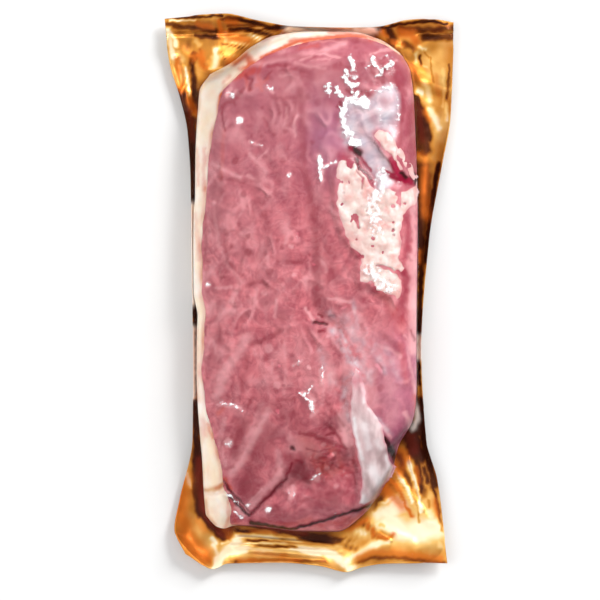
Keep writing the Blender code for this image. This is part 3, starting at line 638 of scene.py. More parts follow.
class Nodes:
    """A material's node tree, with short ways to add to it."""

    def __init__(self, name):
        self.material = bpy.data.materials.new(name)
        self.material.use_nodes = True
        self.tree = self.material.node_tree
        self.shader = self.tree.nodes["Principled BSDF"]
        self.coordinates = self.add("ShaderNodeTexCoord").outputs["Object"]

    def add(self, kind, **settings):
        node = self.tree.nodes.new(kind)
        for setting, value in settings.items():
            setattr(node, setting, value)
        return node

    def link(self, source, target):
        self.tree.links.new(source, target)

    def set(self, **values):
        for name, value in values.items():
            self.shader.inputs[name.replace("_", " ")].default_value = value

    def noise(self, scale, detail=3.0, roughness=0.5, stretch=(1, 1, 1), distortion=0.0):
        mapping = self.add("ShaderNodeMapping")
        mapping.inputs["Scale"].default_value = stretch
        self.link(self.coordinates, mapping.inputs["Vector"])
        texture = self.add("ShaderNodeTexNoise")
        self.link(mapping.outputs["Vector"], texture.inputs["Vector"])
        texture.inputs["Scale"].default_value = scale
        texture.inputs["Detail"].default_value = detail
        texture.inputs["Roughness"].default_value = roughness
        texture.inputs["Distortion"].default_value = distortion
        return texture.outputs["Fac"]

    def seams(self, scale, width, strength):
        """Thin winding lines: 0 to the given strength."""
        away = self.add("ShaderNodeMath", operation="ABSOLUTE")
        middle = self.add("ShaderNodeMath", operation="SUBTRACT")
        self.link(self.noise(scale, detail=2, distortion=1.2), middle.inputs[0])
        middle.inputs[1].default_value = 0.5
        self.link(middle.outputs["Value"], away.inputs[0])
        return self.ramp(away.outputs["Value"], 0.0, width, strength, 0.0)

    def ramp(self, factor, low, high, out_low=0.0, out_high=1.0):
        node = self.add("ShaderNodeMapRange")
        self.link(factor, node.inputs["Value"])
        node.inputs["From Min"].default_value = low
        node.inputs["From Max"].default_value = high
        node.inputs["To Min"].default_value = out_low
        node.inputs["To Max"].default_value = out_high
        return node.outputs["Result"]

    def combine(self, operation, first, second):
        """One value out of two, added or multiplied."""
        node = self.add("ShaderNodeMath", operation=operation)
        self.link(first, node.inputs[0])
        self.link(second, node.inputs[1])
        return node.outputs["Value"]

    def plus(self, first, second):
        return self.combine("ADD", first, second)

    def times(self, first, second):
        return self.combine("MULTIPLY", first, second)

    def painted(self, name):
        return self.add("ShaderNodeAttribute", attribute_name=name).outputs["Fac"]

    def mix(self, factor, first, second):
        node = self.add("ShaderNodeMix", data_type="RGBA")
        self.link(factor, node.inputs["Factor"])
        for socket, value in ((node.inputs[6], first), (node.inputs[7], second)):
            if isinstance(value, tuple):
                socket.default_value = (*value, 1)
            else:
                self.link(value, socket)
        return node.outputs[2]

    def palette(self, factor, stops):
        """Colour for a factor from 0 to 1, through (position, colour) stops."""
        node = self.add("ShaderNodeValToRGB")
        self.link(factor, node.inputs["Fac"])
        marks = node.color_ramp.elements
        for _ in stops[2:]:
            marks.new(0.5)
        for mark, (position, colour) in zip(marks, stops):
            mark.position = position
            mark.color = (*colour, 1)
        return node.outputs["Color"]

    def bump(self, height, strength, distance):
        node = self.add("ShaderNodeBump")
        node.inputs["Strength"].default_value = strength
        node.inputs["Distance"].default_value = distance
        self.link(height, node.inputs["Height"])
        self.link(node.outputs["Normal"], self.shader.inputs["Normal"])


def gold_foil():
    nodes = Nodes("gold_foil")
    grain = nodes.noise(70, detail=3)
    # The colour is painted light: a painted tone of reflections, highlights and shade picks a gold from dark
    # to bright, and orange reflections are painted over it
    reflection_and_shade = nodes.plus(nodes.painted("reflection_and_shade"), nodes.ramp(grain, 0.3, 0.7, -0.06, 0.06))
    gold = nodes.mix(nodes.painted("painted_orange"), nodes.palette(reflection_and_shade, GOLD_REFLECTION_TONES), ORANGE_REFLECTION)
    gold = nodes.mix(nodes.painted("juice"), gold, JUICE_ON_GOLD)
    facing = nodes.add("ShaderNodeSeparateXYZ")
    nodes.link(nodes.add("ShaderNodeTexCoord").outputs["Normal"], facing.inputs["Vector"])
    inner_face = nodes.ramp(facing.outputs["Z"], -0.05, 0.15)
    gold = nodes.mix(nodes.times(inner_face, nodes.painted("smear")), gold, SMEARED_FAT)
    nodes.link(gold, nodes.shader.inputs["Base Color"])
    nodes.link(nodes.ramp(nodes.painted("reflection_and_shade"), 0.75, 1.0, 0.60, 0.30), nodes.shader.inputs["Metallic"])
    nodes.link(nodes.ramp(grain, 0.3, 0.7, 0.38, 0.50), nodes.shader.inputs["Roughness"])
    nodes.set(Specular_IOR_Level=0.2)
    nodes.bump(nodes.noise(160, detail=2, stretch=(1, 0.35, 1)), 0.12, 0.3 * MM)
    return nodes.material


def make_foil():
    columns = spaced((-2, -1, 56), (-1, -0.86, 8), (-0.86, 0.86, 34), (0.86, 1, 8), (1, 2, 56))
    rows = spaced((-2, -1, 50), (-1, 1, 190), (1, 2, 50))
    mesh, across, along = grid("gold_foil_back", columns, rows)
    point = plan(across, along)
    distance = outwards(*outside(across, along)) * margin_width(across, along)
    move_vertices(mesh, point, foil_height(across, along))
    # Painted tone: shade beside the breast, a random mottle, painted highlights and painted dark reflections
    # and shade
    reflection_and_shade = PLAIN_TONE - SHADE_BY_BREAST * np.exp(-distance / SHADE_WIDTH)
    reflection_and_shade += MOTTLE_STRENGTH * layered_noise(point, 9 * MM, 51, 2)
    reflection_and_shade += HIGHLIGHT_STRENGTH * streaks(point, FOIL_HIGHLIGHTS) - SHADE_AND_DARK_REFLECTION_STRENGTH * streaks(point, FOIL_SHADE_AND_DARK_REFLECTIONS)
    paint(mesh, "reflection_and_shade", np.clip(reflection_and_shade, 0, 1))
    paint(mesh, "painted_orange", streaks(point, FOIL_ORANGE_REFLECTIONS))
    paint(mesh, "juice", streaks(point, FOIL_JUICE))
    paint(mesh, "smear", np.clip(streaks(point, FOIL_SMEARS), 0, 1))
    piece = add_piece("gold_foil_back", mesh, gold_foil(), "foil_back")
    thickness = piece.modifiers.new("thickness", "SOLIDIFY")
    thickness.thickness = FOIL_THICKNESS
    thickness.offset = -1


make_foil()


# The skin and its fat are one soft layer that runs the length of the breast under the lean. Its cut edge
# shows as a creamy band down the left side, thickest at the lower left nub, and over the top.

SHOULDER_AT_SIDES = 15 * MM
SHOULDER_AT_ENDS = 19 * MM
FAT_THICKNESS = 6.5 * MM
FAT_UNDERSIDE = FOIL_THICKNESS + CLEARANCE
INSET_AT_RIGHT = 1.4 * MM
LEAN_BED = 0.5 * MM

# Height of the breast's crest as a share of its thickness, from its lower to its upper end
CREST = ((-1, 0.62), (-0.75, 0.80), (-0.3, 0.97), (0.2, 1.0), (0.65, 0.95), (1, 0.80))

# Width in millimetres of the fat that shows beside the lean, along the left side and across the top
FAT_SHOWN_LEFT = (
    (-1, 11.5), (-0.92, 13), (-0.865, 12), (-0.83, 10.6), (-0.79, 9.6), (-0.72, 8.9), (-0.66, 7.5),
    (-0.6, 6.2), (-0.5, 4.2), (-0.4, 2.6), (-0.3, 2.1), (-0.2, 3), (-0.1, 3.2), (0, 3.4), (0.15, 3.6),
    (0.3, 3.6), (0.36, 4.4), (0.5, 4.9), (0.7, 7.2), (0.85, 10.5), (0.93, 18), (1, 25),
)
FAT_SHOWN_UPPER = (
    (-1, 17), (-0.75, 14), (-0.6, 12), (-0.35, 9.6), (-0.1, 6.8), (0.1, 4.4), (0.4, 2.4), (1, 1),
)

# Hollows of the whole breast: each a line with its two ends, the height along it and its half width
HOLLOWS = (
    ((0, 82), (1, -2), -0.9, 6.0),
    ((15, 66), (38, 73), -0.8, 4.0),
    ((4, -8), (11, -14), -1.0, 4.0),
    ((14, -40), (20, -84), -1.2, 4.0),
    ((10, -58), (-4, -80), -1.8, 5.0),
    ((18, -72), (-10, -86), -2.2, 6.0),
    ((-36, -83), (-26, -98), -1.0, 4.0),
)

# Blood in the fat: the points of each streak in millimetres, its half width and its strength
BLUSHES = (
    (((-20.2, 100.6), (-12.5, 104.5), (-5.2, 107.9), (-1.3, 108.4)), 1, 0.9),
    (((-8.2, 107.9), (9, 109.6), (17.6, 110.9)), 1.3, 0.9),
    (((-31.4, 98.9), (-27.1, 101.9), (-24.5, 98)), 1.9, 0.95),
    (((-29.7, 96.3), (-25.4, 97.2)), 1.3, 0.6),
    (((-36.5, 90.3), (-34, 92.9)), 0.9, 0.35),
    (((-45.6, -54.2), (-44.3, -60.2)), 1.7, 0.4),
    (((-43.4, -55.9), (-41.3, -61.1)), 1, 0.6),
    (((-40, -83), (-36.5, -81.3)), 0.8, 0.5),
    (((-34.8, -88.6), (-34.4, -95.5), (-35.7, -99.8)), 0.8, 0.45),
    (((-20.2, 108.4), (-13.3, 110.9)), 0.9, 0.4),
    (((9, 112.2), (28.4, 110.1)), 1.3, 0.7),
    (((-37.4, 85.6), (-38.7, 78.3), (-40, 68.4)), 0.7, 0.45),
    (((-48.2, 61.9), (-47.3, 46.9)), 1, 0.35),
    (((-48.6, 34), (-47.3, 14.6)), 1, 0.3),
    (((-48.6, -15.5), (-47.7, -45.6)), 1, 0.35),
    (((-44.7, 61.9), (-45.1, 44.7)), 0.9, 0.4),
)

# Tanned edges of the fat, and the crease across its lower left nub
FAT_TANS = (
    (((-44.3, -83.8), (-40.9, -83.8), (-37, -81.7)), 1.2, 0.8),
    (((-44.3, -88.6), (-43.4, -94.6), (-40, -98.9)), 0.8, 0.45),
    (((-46.4, -62.8), (-45.6, -80)), 0.7, 0.35),
    (((-47.3, 91.2), (-47.3, 78.3)), 0.9, 0.35),
    (((-24.5, 104.9), (-16.8, 107.9)), 1.3, 0.35),
    (((-17.6, 106.6), (-9, 110.1)), 0.8, 0.3),
    (((-44.7, 94.6), (-37.4, 95.5)), 0.9, 0.4),
    (((-40.9, -92), (-39.1, -96.3)), 1.7, 0.2),
    (((-46.9, -57.6), (-46, -62.8)), 1.3, 0.35),
)
FAT_CREASE = ((-46, -85), (-40, -84.5), (-34, -82))
CREASE_DEPTH = 1.5 * MM
CREASE_WIDTH = 1.2 * MM
crest, fat_shown_left, fat_shown_upper = map(smooth_curve, (CREST, FAT_SHOWN_LEFT, FAT_SHOWN_UPPER))


def breast_height(across, along, spread=0.0):
    """Upper surface of the breast, lean and fat as one."""
    dome = edge_round(across, along, SHOULDER_AT_SIDES, SHOULDER_AT_ENDS, spread)
    crown = BREAST_THICKNESS * crest(along) * (1 - 0.10 * (across + 0.15) ** 2)
    crown += line_relief(plan(across, along), HOLLOWS)
    edge = rim_height(along) + RIM_HALF
    return edge + (crown - edge) * dome


def lean_left(along):
    """Plan position across at which the lean starts, beside the fat."""
    wobble = 0.6 * MM * noise(np.stack([along * 0.1, 0 * along], axis=-1), 9 * MM, 61)
    return -1 + (fat_shown_left(along) * MM + wobble) / (BREAST_WIDTH / 2)


def lean_end(across):
    """Plan position along at which the lean ends, below the upper fat."""
    return 1 - fat_shown_upper(across) * MM / (BREAST_LENGTH / 2)


def close_underneath(mesh, depth):
    """Gives a sheet walls that end in a flat face at the given depth, and closes it there."""
    bm = bmesh.new()
    bm.from_mesh(mesh)
    rim = [edge for edge in bm.edges if edge.is_boundary]
    walls = bmesh.ops.extrude_edge_only(bm, edges=rim)
    for item in walls["geom"]:
        if isinstance(item, bmesh.types.BMVert):
            item.co.z = depth
    bmesh.ops.holes_fill(bm, edges=[edge for edge in bm.edges if edge.is_boundary], sides=0)
    bmesh.ops.recalc_face_normals(bm, faces=bm.faces[:])
    bm.to_mesh(mesh)
    bm.free()


def skin_fat():
    nodes = Nodes("skin_fat")
    cloudy = nodes.ramp(nodes.noise(75, detail=4), 0.36, 0.64)
    cream = nodes.mix(cloudy, (0.96, 0.78, 0.58), (0.99, 0.89, 0.81))
    flushed = nodes.ramp(nodes.noise(170, detail=4), 0.45, 0.70, 0.0, 0.35)
    cream = nodes.mix(flushed, cream, (0.90, 0.62, 0.50))
    tan = nodes.mix(nodes.painted("tan"), cream, (0.66, 0.34, 0.12))
    pink = nodes.mix(nodes.painted("blush"), tan, (0.66, 0.13, 0.05))
    wet = nodes.mix(nodes.painted("juice"), pink, (0.20, 0.012, 0.018))
    nodes.link(wet, nodes.shader.inputs["Base Color"])
    nodes.set(Roughness=0.42, Subsurface_Weight=0.25, Subsurface_Radius=(1.0, 0.55, 0.35),
              Subsurface_Scale=2 * MM)
    nodes.bump(nodes.noise(420, detail=3), 0.25, 0.3 * MM)
    return nodes.material


def make_fat():
    columns = spaced((-1, 1 - INSET_AT_RIGHT / (BREAST_WIDTH / 2), 197))
    rows = spaced((-1, 1, 330))
    mesh, across, along = grid("skin_and_fat", columns, rows)
    point = plan(across, along)
    height = breast_height(across, along) + 0.30 * MM * layered_noise(point, 6 * MM, 62)
    height -= CREASE_DEPTH * np.exp(-(from_line(point, FAT_CREASE) / CREASE_WIDTH) ** 2)
    to_lean = np.minimum((across - lean_left(along)) * BREAST_WIDTH / 2,
                         (lean_end(across) - along) * BREAST_LENGTH / 2)
    under_lean = smooth_step((to_lean - 0.6 * MM) / (2.5 * MM))
    height -= under_lean * np.maximum(height - FAT_THICKNESS + LEAN_BED, 0)
    edge_of_lean = np.exp(-(np.minimum(to_lean, 0) / (0.9 * MM)) ** 2)
    pinked = edge_of_lean * (0.35 + 0.5 * noise(point, 8 * MM, 63))
    paint(mesh, "blush", np.clip(pinked + streaks(point, BLUSHES), 0, 1))
    paint(mesh, "tan", streaks(point, FAT_TANS))
    low_edge = np.exp(-((along + 1) * BREAST_LENGTH / 2 / (1.6 * MM)) ** 2)
    paint(mesh, "juice", low_edge * smooth_step((point[..., 0] + 34 * MM) / (4 * MM)))
    move_vertices(mesh, point, height)
    close_underneath(mesh, FAT_UNDERSIDE)
    add_piece("skin_and_fat", mesh, skin_fat(), "skin_fat")


make_fat()


# The lean is one long muscle, moist and mauve pink, with a paler mottle, painted sheen and shade where the
# film folds over it, small dark spots, a silver skin at the upper right, a dark seam down its middle and a
# ragged gash near its lower end.

SILVERSKIN = (
    (14.2, 78.3), (15.5, 81.7), (18.5, 84.3), (21.1, 83), (24.5, 82.1), (27.1, 84.3), (29.7, 87.3),
    (33.1, 89.4), (36.1, 89), (38.3, 85.6), (38.7, 80), (37.8, 73.1), (37.4, 67.9), (36.5, 64.9),
    (34.8, 69.2), (32.2, 70.1), (28.8, 70.5), (26.7, 68.8), (27.5, 65.4), (30.5, 61.1), (34, 56.3),
    (37.4, 50.7), (34.8, 46.4), (32.2, 42.1), (28.8, 43.9), (27.9, 49), (24.5, 54.2), (21.9, 59.3),
    (18.5, 62.4), (16.3, 65.4), (14.2, 71.4),
)

# Ovals on the lean, each with its centre and radii in millimetres: the raw gash, a violet tinge, and the
# middle where the film lies smooth
GASH = ((8, -72), (17, 13))
TINGE = ((8, 68), (9, 16))
SMOOTH_MIDDLE = ((8, 20), (8, 24))

# Streaks on the lean, first the pale ones, which are pale membrane with painted sheen of the film over them,
# then the silver skin's: the points of each in millimetres, its half width and its strength
PALE_AND_SHEEN_STREAKS = (
    (((-26.2, 97.6), (-9, 100.6), (5.6, 103.6), (15.5, 107.1)), 1.3, 0.5),
    (((-3.9, 99.8), (1.3, 101.5)), 0.7, 0.7),
    (((-25.4, 64.9), (-20.2, 62.8)), 0.7, 0.6),
    (((-17.6, 87.7), (-15.5, 85.6)), 0.6, 0.8),
    (((3.9, 58.9), (5.6, 52.5), (5.6, 48.2)), 1, 0.8),
    (((6, 54.6), (12, 56.3)), 0.7, 0.8),
    (((-41.3, 55.5), (-36.1, 52.9), (-29.7, 49.9)), 0.9, 0.5),
    (((-26.2, 50.3), (-21.9, 48.2)), 0.9, 0.5),
    (((-25.4, 59.8), (-22.4, 56.3), (-18.5, 52.5)), 0.9, 0.5),
    (((-9.9, 79.1), (-9.5, 75.2), (-10.8, 71.8)), 0.9, 0.45),
    (((-5.6, 75.7), (-6.5, 71.8), (-6, 67.1)), 0.9, 0.5),
    (((-19.4, 97.6), (-15.5, 99.8)), 0.7, 0.5),
    (((-12.5, 92.9), (-7.3, 93.3), (-4.3, 92)), 0.7, 0.4),
    (((-6, 98.5), (-1.3, 97.2), (6.9, 96.3)), 0.9, 0.5),
    (((-40.4, 34), (-38.3, 21.1), (-34.8, 12.5), (-29.7, 6)), 1.3, 0.35),
    (((-9, 25.8), (-9.9, 21.9)), 0.9, 0.5),
    (((-22.4, 1.7), (-23.2, -4.7)), 1.3, 0.45),
    (((-13.8, -3), (-14.6, -9.9)), 0.9, 0.5),
    (((-28.8, 5.2), (-33.1, -3)), 1.5, 0.45),
    (((-39.6, 2.6), (-33.1, 2.6)), 0.9, 0.45),
    (((-26.2, -18.5), (-29.7, -24.1), (-34.8, -31.8), (-39.1, -43.4)), 2.4, 0.55),
    (((-15.9, -30.1), (-15.9, -34)), 0.9, 0.45),
    (((-10.8, -19.8), (-9.9, -32.7), (-10.8, -42.1)), 1, 0.35),
    (((-1.7, -6), (1.7, -11.2)), 0.7, 0.8),
    (((-6.9, -30.5), (-3, -28.4)), 0.8, 0.7),
    (((4.7, -32.2), (5.2, -38.7)), 0.8, 0.8),
    (((-3, -42.1), (-0.9, -42.6), (1.3, -44.7), (1.7, -47.3)), 0.9, 0.8),
    (((3.4, -49.9), (0.9, -52)), 0.8, 0.6),
    (((-39.1, -46.9), (-29.7, -48.6)), 0.9, 0.7),
    (((-17.6, -49.9), (-22.4, -58.9), (-28.4, -71), (-33.1, -76.5)), 1.9, 0.7),
    (((-13.3, -67.1), (-12, -75.7), (-17.6, -82.6), (-25.4, -90.7)), 1.5, 0.45),
    (((-36.1, -53.3), (-38.3, -62.8), (-35.7, -73.5)), 1.1, 0.35),
    (((-34.8, -84.3), (-26.2, -93.7)), 0.6, 0.8),
    (((6, 13.8), (7.3, 9.5)), 0.9, 0.45),
    (((8.2, -1.7), (12.5, -2.6), (17.6, -3.4)), 0.8, 0.6),
    (((7.3, -11.2), (10.3, -19.8), (14.2, -24.9)), 1.1, 0.45),
    (((29.7, -21.9), (35.7, -24.1), (39.1, -26.7)), 0.9, 0.6),
    (((42.6, -3.9), (43.9, -9.5), (45.6, -16.3)), 0.7, 0.8),
    (((40.4, -17.6), (43.4, -20.6), (45.1, -24.1)), 0.6, 0.7),
    (((42.1, -24.9), (43.9, -33.5), (45.6, -42.1)), 0.9, 0.6),
    (((43.9, 38.3), (45.1, 23.2), (43.9, 6), (44.7, -6.9)), 1.3, 0.65),
    (((-8.2, -61.5), (-3.9, -66.2), (3.9, -67.9)), 1.7, 0.4),
    (((13.3, -58.5), (17.6, -64.9)), 0.9, 0.4),
    (((0.4, 107.5), (9, 108.4), (15.5, 107.1)), 0.6, 0.5),
    (((0.4, 102.3), (6.9, 102.3), (13.3, 100.6)), 0.6, 0.7),
    (((1.3, 99.8), (9, 100.2)), 0.5, 0.5),
    (((26.2, 101.9), (30.5, 104.1), (35.7, 104.9)), 0.7, 0.8),
    (((32.2, 97.2), (35.3, 98.9), (37.4, 99.8)), 0.6, 0.9),
    (((27.9, 99.3), (29.7, 96.3), (28.8, 93.7)), 0.9, 0.9),
    (((38.3, 104.9), (41.7, 100.6), (43.9, 94.2), (44.7, 87.7)), 0.6, 0.6),
    (((40.9, -50.7), (42.6, -54.2), (43, -57.6)), 1.1, 0.8),
    (((-35.3, 84.7), (-33.5, 86.9)), 0.9, 1),
    (((-31.4, 86.4), (-29.7, 84.7)), 0.9, 0.6),
    (((-6.9, -82.1), (-7.7, -86.9)), 1.1, 0.8),
    (((-20.2, -83.4), (-22.8, -86.4), (-25.4, -88.6)), 0.7, 0.6),
    (((-34, -85.1), (-31.4, -87.7), (-29.2, -90.3)), 0.4, 0.9),
    (((-31, -91.2), (-28.4, -94.6)), 0.9, 0.8),
    (((24.5, -49), (28.8, -53.3), (32.2, -57.6), (34.8, -61.1)), 0.7, 0.8),
    (((-20.2, -47.3), (-22.8, -56.3), (-27.9, -65.8), (-31.4, -74.8)), 1.9, 0.35),
    (((27.9, -17.6), (33.1, -30.5), (35.7, -45.6)), 6.9, 0.25),
    (((15.5, -10.3), (22.8, -21.9), (27.1, -33.5)), 3.9, 0.35),
    (((-34, 34), (-25.4, 18.9), (-18.9, 3.9)), 12, 0.15),
    (((6, -25.8), (7.3, -31.8), (9, -38.7)), 3.9, 0.42),
    (((-3.9, -19.8), (-2.1, -30.5), (1.3, -43.4)), 4.3, 0.28),
    (((15.5, -31), (17.6, -39.1), (18.5, -45.6)), 3, 0.5),
    (((24.5, -36.1), (27.1, -46.4)), 3.9, 0.5),
    (((13.8, -52.5), (15.5, -58.5), (16.3, -63.6)), 2.6, 0.85),
    (((-21.9, 21.1), (-20.2, 10.3), (-20.2, -0.4)), 5.2, 0.2),
    (((-11.6, -9), (-9.9, -24.1), (-11.6, -37)), 4.7, 0.15),
    (((43.9, 15.5), (44.3, 1.7), (44.7, -10.3), (44.3, -24.1)), 2.6, 0.85),
    (((-5.6, -64.5), (-0.4, -65.8)), 3.9, 0.45),
    (((-11.6, 19.8), (-10.8, 10.3)), 3.4, 0.17),
    (((-21.1, 12.9), (-20.2, 4.3)), 3.9, 0.2),
    (((32.2, 58.5), (35.7, 54.2)), 1.7, 0.5),
)
SILVER_STREAKS = (
    (((10.3, -15.5), (14.6, -24.1), (19.8, -31.4)), 1.5, 0.7),
    (((9, -7.7), (13.3, -17.6)), 1.7, 0.35),
    (((18.5, -24.9), (21.9, -31.8), (25.4, -37)), 1.9, 0.6),
    (((17.6, -17.6), (25.4, -21.9), (30.5, -29.2)), 2.1, 0.35),
    (((15.9, -36.1), (14.6, -44.7), (17.6, -54.2)), 1.5, 0.55),
    (((22.8, -39.1), (23.2, -45.6), (21.9, -49.9)), 1.3, 0.75),
    (((25.4, -49), (30.5, -54.2), (34.8, -60.2)), 0.9, 0.75),
    (((32.7, -24.1), (38.3, -36.1)), 1.7, 0.3),
    (((19.8, -29.2), (17.6, -37)), 1.7, 0.45),
    (((15.5, -10.3), (20.2, -21.9), (24.5, -33.5)), 3, 0.4),
    (((13.3, -15.5), (17.6, -24.9), (22.8, -36.1)), 0.8, 0.9),
    (((18.5, -2.6), (21.1, -15.5)), 1, 0.4),
    (((24.5, -15.5), (29.7, -24.9), (32.2, -33.5)), 1.3, 0.4),
    (((4.7, -24.1), (8.2, -33.5), (12.5, -42.1)), 1.7, 0.3),
    (((14.6, 68.8), (17.6, 61.9)), 2.1, 0.8),
)

# Small pale lumps of fat: centre and radius in millimetres and strength of each
PALE_SPOTS = (
    ((-29.7, 74), 1.9, 1), ((-8.6, 50.7), 1.2, 0.9), ((-34.4, 86.4), 1.4, 0.75),
    ((-31.4, 86), 1, 0.5), ((-43, 3.9), 1.4, 0.9), ((-34.4, -63.6), 2.1, 0.9),
    ((-26.2, -90.3), 1.2, 1), ((-17.6, -92), 1.7, 0.85), ((3.4, -78.7), 1.6, 0.75),
    ((1.3, -45.6), 1.6, 0.9), ((-7.3, -83.8), 2.1, 0.6), ((0, -31.4), 1.1, 0.8),
    ((-7.7, 20.2), 1.1, 0.6), ((-6.5, 8.2), 1.1, 0.6), ((-40.4, 38.7), 1, 0.5),
    ((-17.2, -23.2), 2.1, 0.45), ((-13.8, -38.7), 1.9, 0.5), ((-19.4, 0.4), 1.4, 0.45),
    ((-29.7, -93.7), 1.1, 0.8), ((-33.5, -47.3), 0.9, 0.6), ((11.6, -82.1), 1.2, 0.5),
    ((8.2, -18.1), 1, 0.5), ((1.3, -65.4), 1.3, 0.42), ((6, -64.5), 1.1, 0.4),
    ((10.8, -68.4), 1.2, 0.4), ((3, -69.7), 1.1, 0.42), ((7.7, -74.4), 1.3, 0.38),
    ((12, -73.5), 1, 0.35), ((3.9, -75.2), 1, 0.36),
)

# Wet blood, rusty flesh, and black painted shade in the gaps between the meat's parts
BLOOD = (
    (((35.3, 56.8), (38.3, 52), (43.4, 47.3)), 1.4, 0.95),
    (((34.8, 50.3), (38.7, 48.6), (44.3, 49)), 1.3, 0.9),
    (((17.6, 61.9), (20.6, 60.6)), 1.7, 0.9),
    (((19.8, 57.6), (21.9, 52.9), (25.4, 50.3), (27.1, 47.3)), 0.9, 0.95),
    (((14.6, 58.5), (17.6, 55)), 1.9, 0.55),
    (((40, -2.6), (38.3, -10.3)), 2.6, 0.35),
    (((38.3, 11.2), (42.1, 6.9), (41.3, 0.9)), 1.5, 0.5),
    (((41.7, 34), (42.6, 23.2), (40.9, 15.5)), 1.5, 0.4),
    (((21.9, 18.1), (21.1, 16.3)), 1.3, 0.5),
    (((21.9, 3.4), (28.8, 1.7)), 1.7, 0.3),
    (((46, 50.7), (44.7, 47.3)), 1.3, 0.9),
    (((34.8, 57.6), (36.5, 53.3), (39.1, 49.9), (40.9, 48.2)), 1.4, 1),
    (((31.4, 52.5), (34.8, 51.2), (39.1, 51.6)), 0.8, 1),
    (((21.1, 61.1), (22.8, 56.8), (26.2, 52.5)), 0.6, 0.8),
    (((13.3, 58.5), (18.5, 53.3)), 2.1, 0.45),
)
RUST = (
    (((-31.4, 92), (-27.1, 95.5), (-20.2, 101.5), (-12.5, 104.9), (-5.2, 108.4)), 1.1, 0.75),
    (((-3.9, 107.9), (9, 110.1), (16.8, 111.4)), 1.7, 0.6),
    (((-25.4, 99.8), (-27.1, 92.9), (-25.4, 86.9)), 0.9, 0.55),
    (((-20.2, 99.8), (-21.9, 93.7), (-20.2, 86.9)), 0.9, 0.5),
    (((-27.5, 93.3), (-24.5, 94.6)), 1.3, 0.7),
    (((-3.9, 104.9), (3.9, 106.2)), 1, 0.5),
    (((-38.7, -50.7), (-36.5, -49)), 1.1, 0.6),
    (((-36.1, -79.1), (-33.5, -83.4)), 1.1, 0.9),
    (((-2.1, -63.6), (3, -69.7), (9, -75.7)), 3.4, 0.55),
    (((-36.5, 69.7), (-37.4, 49)), 0.9, 0.35),
    (((-33.1, -88.6), (-31.4, -99.3)), 1.3, 0.4),
    (((30.5, 1.7), (38.3, -10.3), (40, -15.5)), 2.1, 0.3),
    (((39.1, -21.9), (41.3, -37)), 1.7, 0.35),
    (((13.3, -95), (20.2, -97.2)), 1.3, 0.5),
    (((-21.9, -98.5), (-10.3, -98.9), (0.4, -96.3)), 1.1, 0.45),
    (((-29.7, 92.9), (-26.2, 94.2), (-23.6, 95.5)), 1.3, 0.8),
    (((46, -43.4), (46.9, -50.7)), 1.7, 0.8),
    (((-3.9, -98), (4.7, -98.9), (15.5, -97.6)), 1.5, 0.5),
    (((4.7, 111.8), (15.5, 112.2), (22.8, 111.4)), 1.3, 0.9),
    (((-22.8, 88.6), (-20.2, 89.4), (-17.6, 92)), 0.9, 0.5),
    (((-5.6, 108.8), (4.7, 110.9), (17.6, 111.4), (27.1, 109.2)), 1.7, 0.8),
)
GAP_SHADES = (
    (((32.5, -61.9), (34.4, -65.8)), 0.9, 1),
    (((34.4, -65.8), (36.5, -69.7), (37.8, -71.8)), 1.5, 1),
    (((19.4, 61.5), (21.5, 59.8)), 1.3, 1),
    (((44.3, 50.7), (46.4, 47.7)), 1.4, 1),
    (((39.6, 51.6), (41.3, 49.9)), 0.9, 0.9),
    (((-24.9, -98), (-20.2, -98.7), (-14.6, -99.8), (-8.2, -101)), 0.9, 0.95),
    (((-8.2, -101), (0.4, -98.9), (9, -95.9), (17.6, -93.3), (27.9, -90.3)), 0.6, 0.8),
    (((-36.5, -80), (-34.8, -83), (-31.4, -86), (-28.4, -89.4), (-25.8, -92.9)), 0.4, 0.6),
    (((-34.4, -86), (-31.8, -89), (-28.8, -92), (-25.8, -95)), 0.5, 0.8),
    (((-25.8, -94.6), (-22.8, -92), (-19.8, -88.6), (-15.9, -84.7), (-12.5, -81.7),
       (-9.9, -78.7)), 0.5, 0.3),
    (((-7.3, -65.4), (-6.5, -66.2)), 0.8, 0.7),
    (((1.7, -12), (7.3, -12.9)), 0.5, 0.6),
    (((20.2, 57.6), (21.5, 53.3), (24.5, 51.6), (26.2, 49)), 0.6, 0.6),
    (((27.9, 64.9), (30.1, 61.5), (32.2, 58.5), (34, 56.3)), 0.4, 0.4),
)

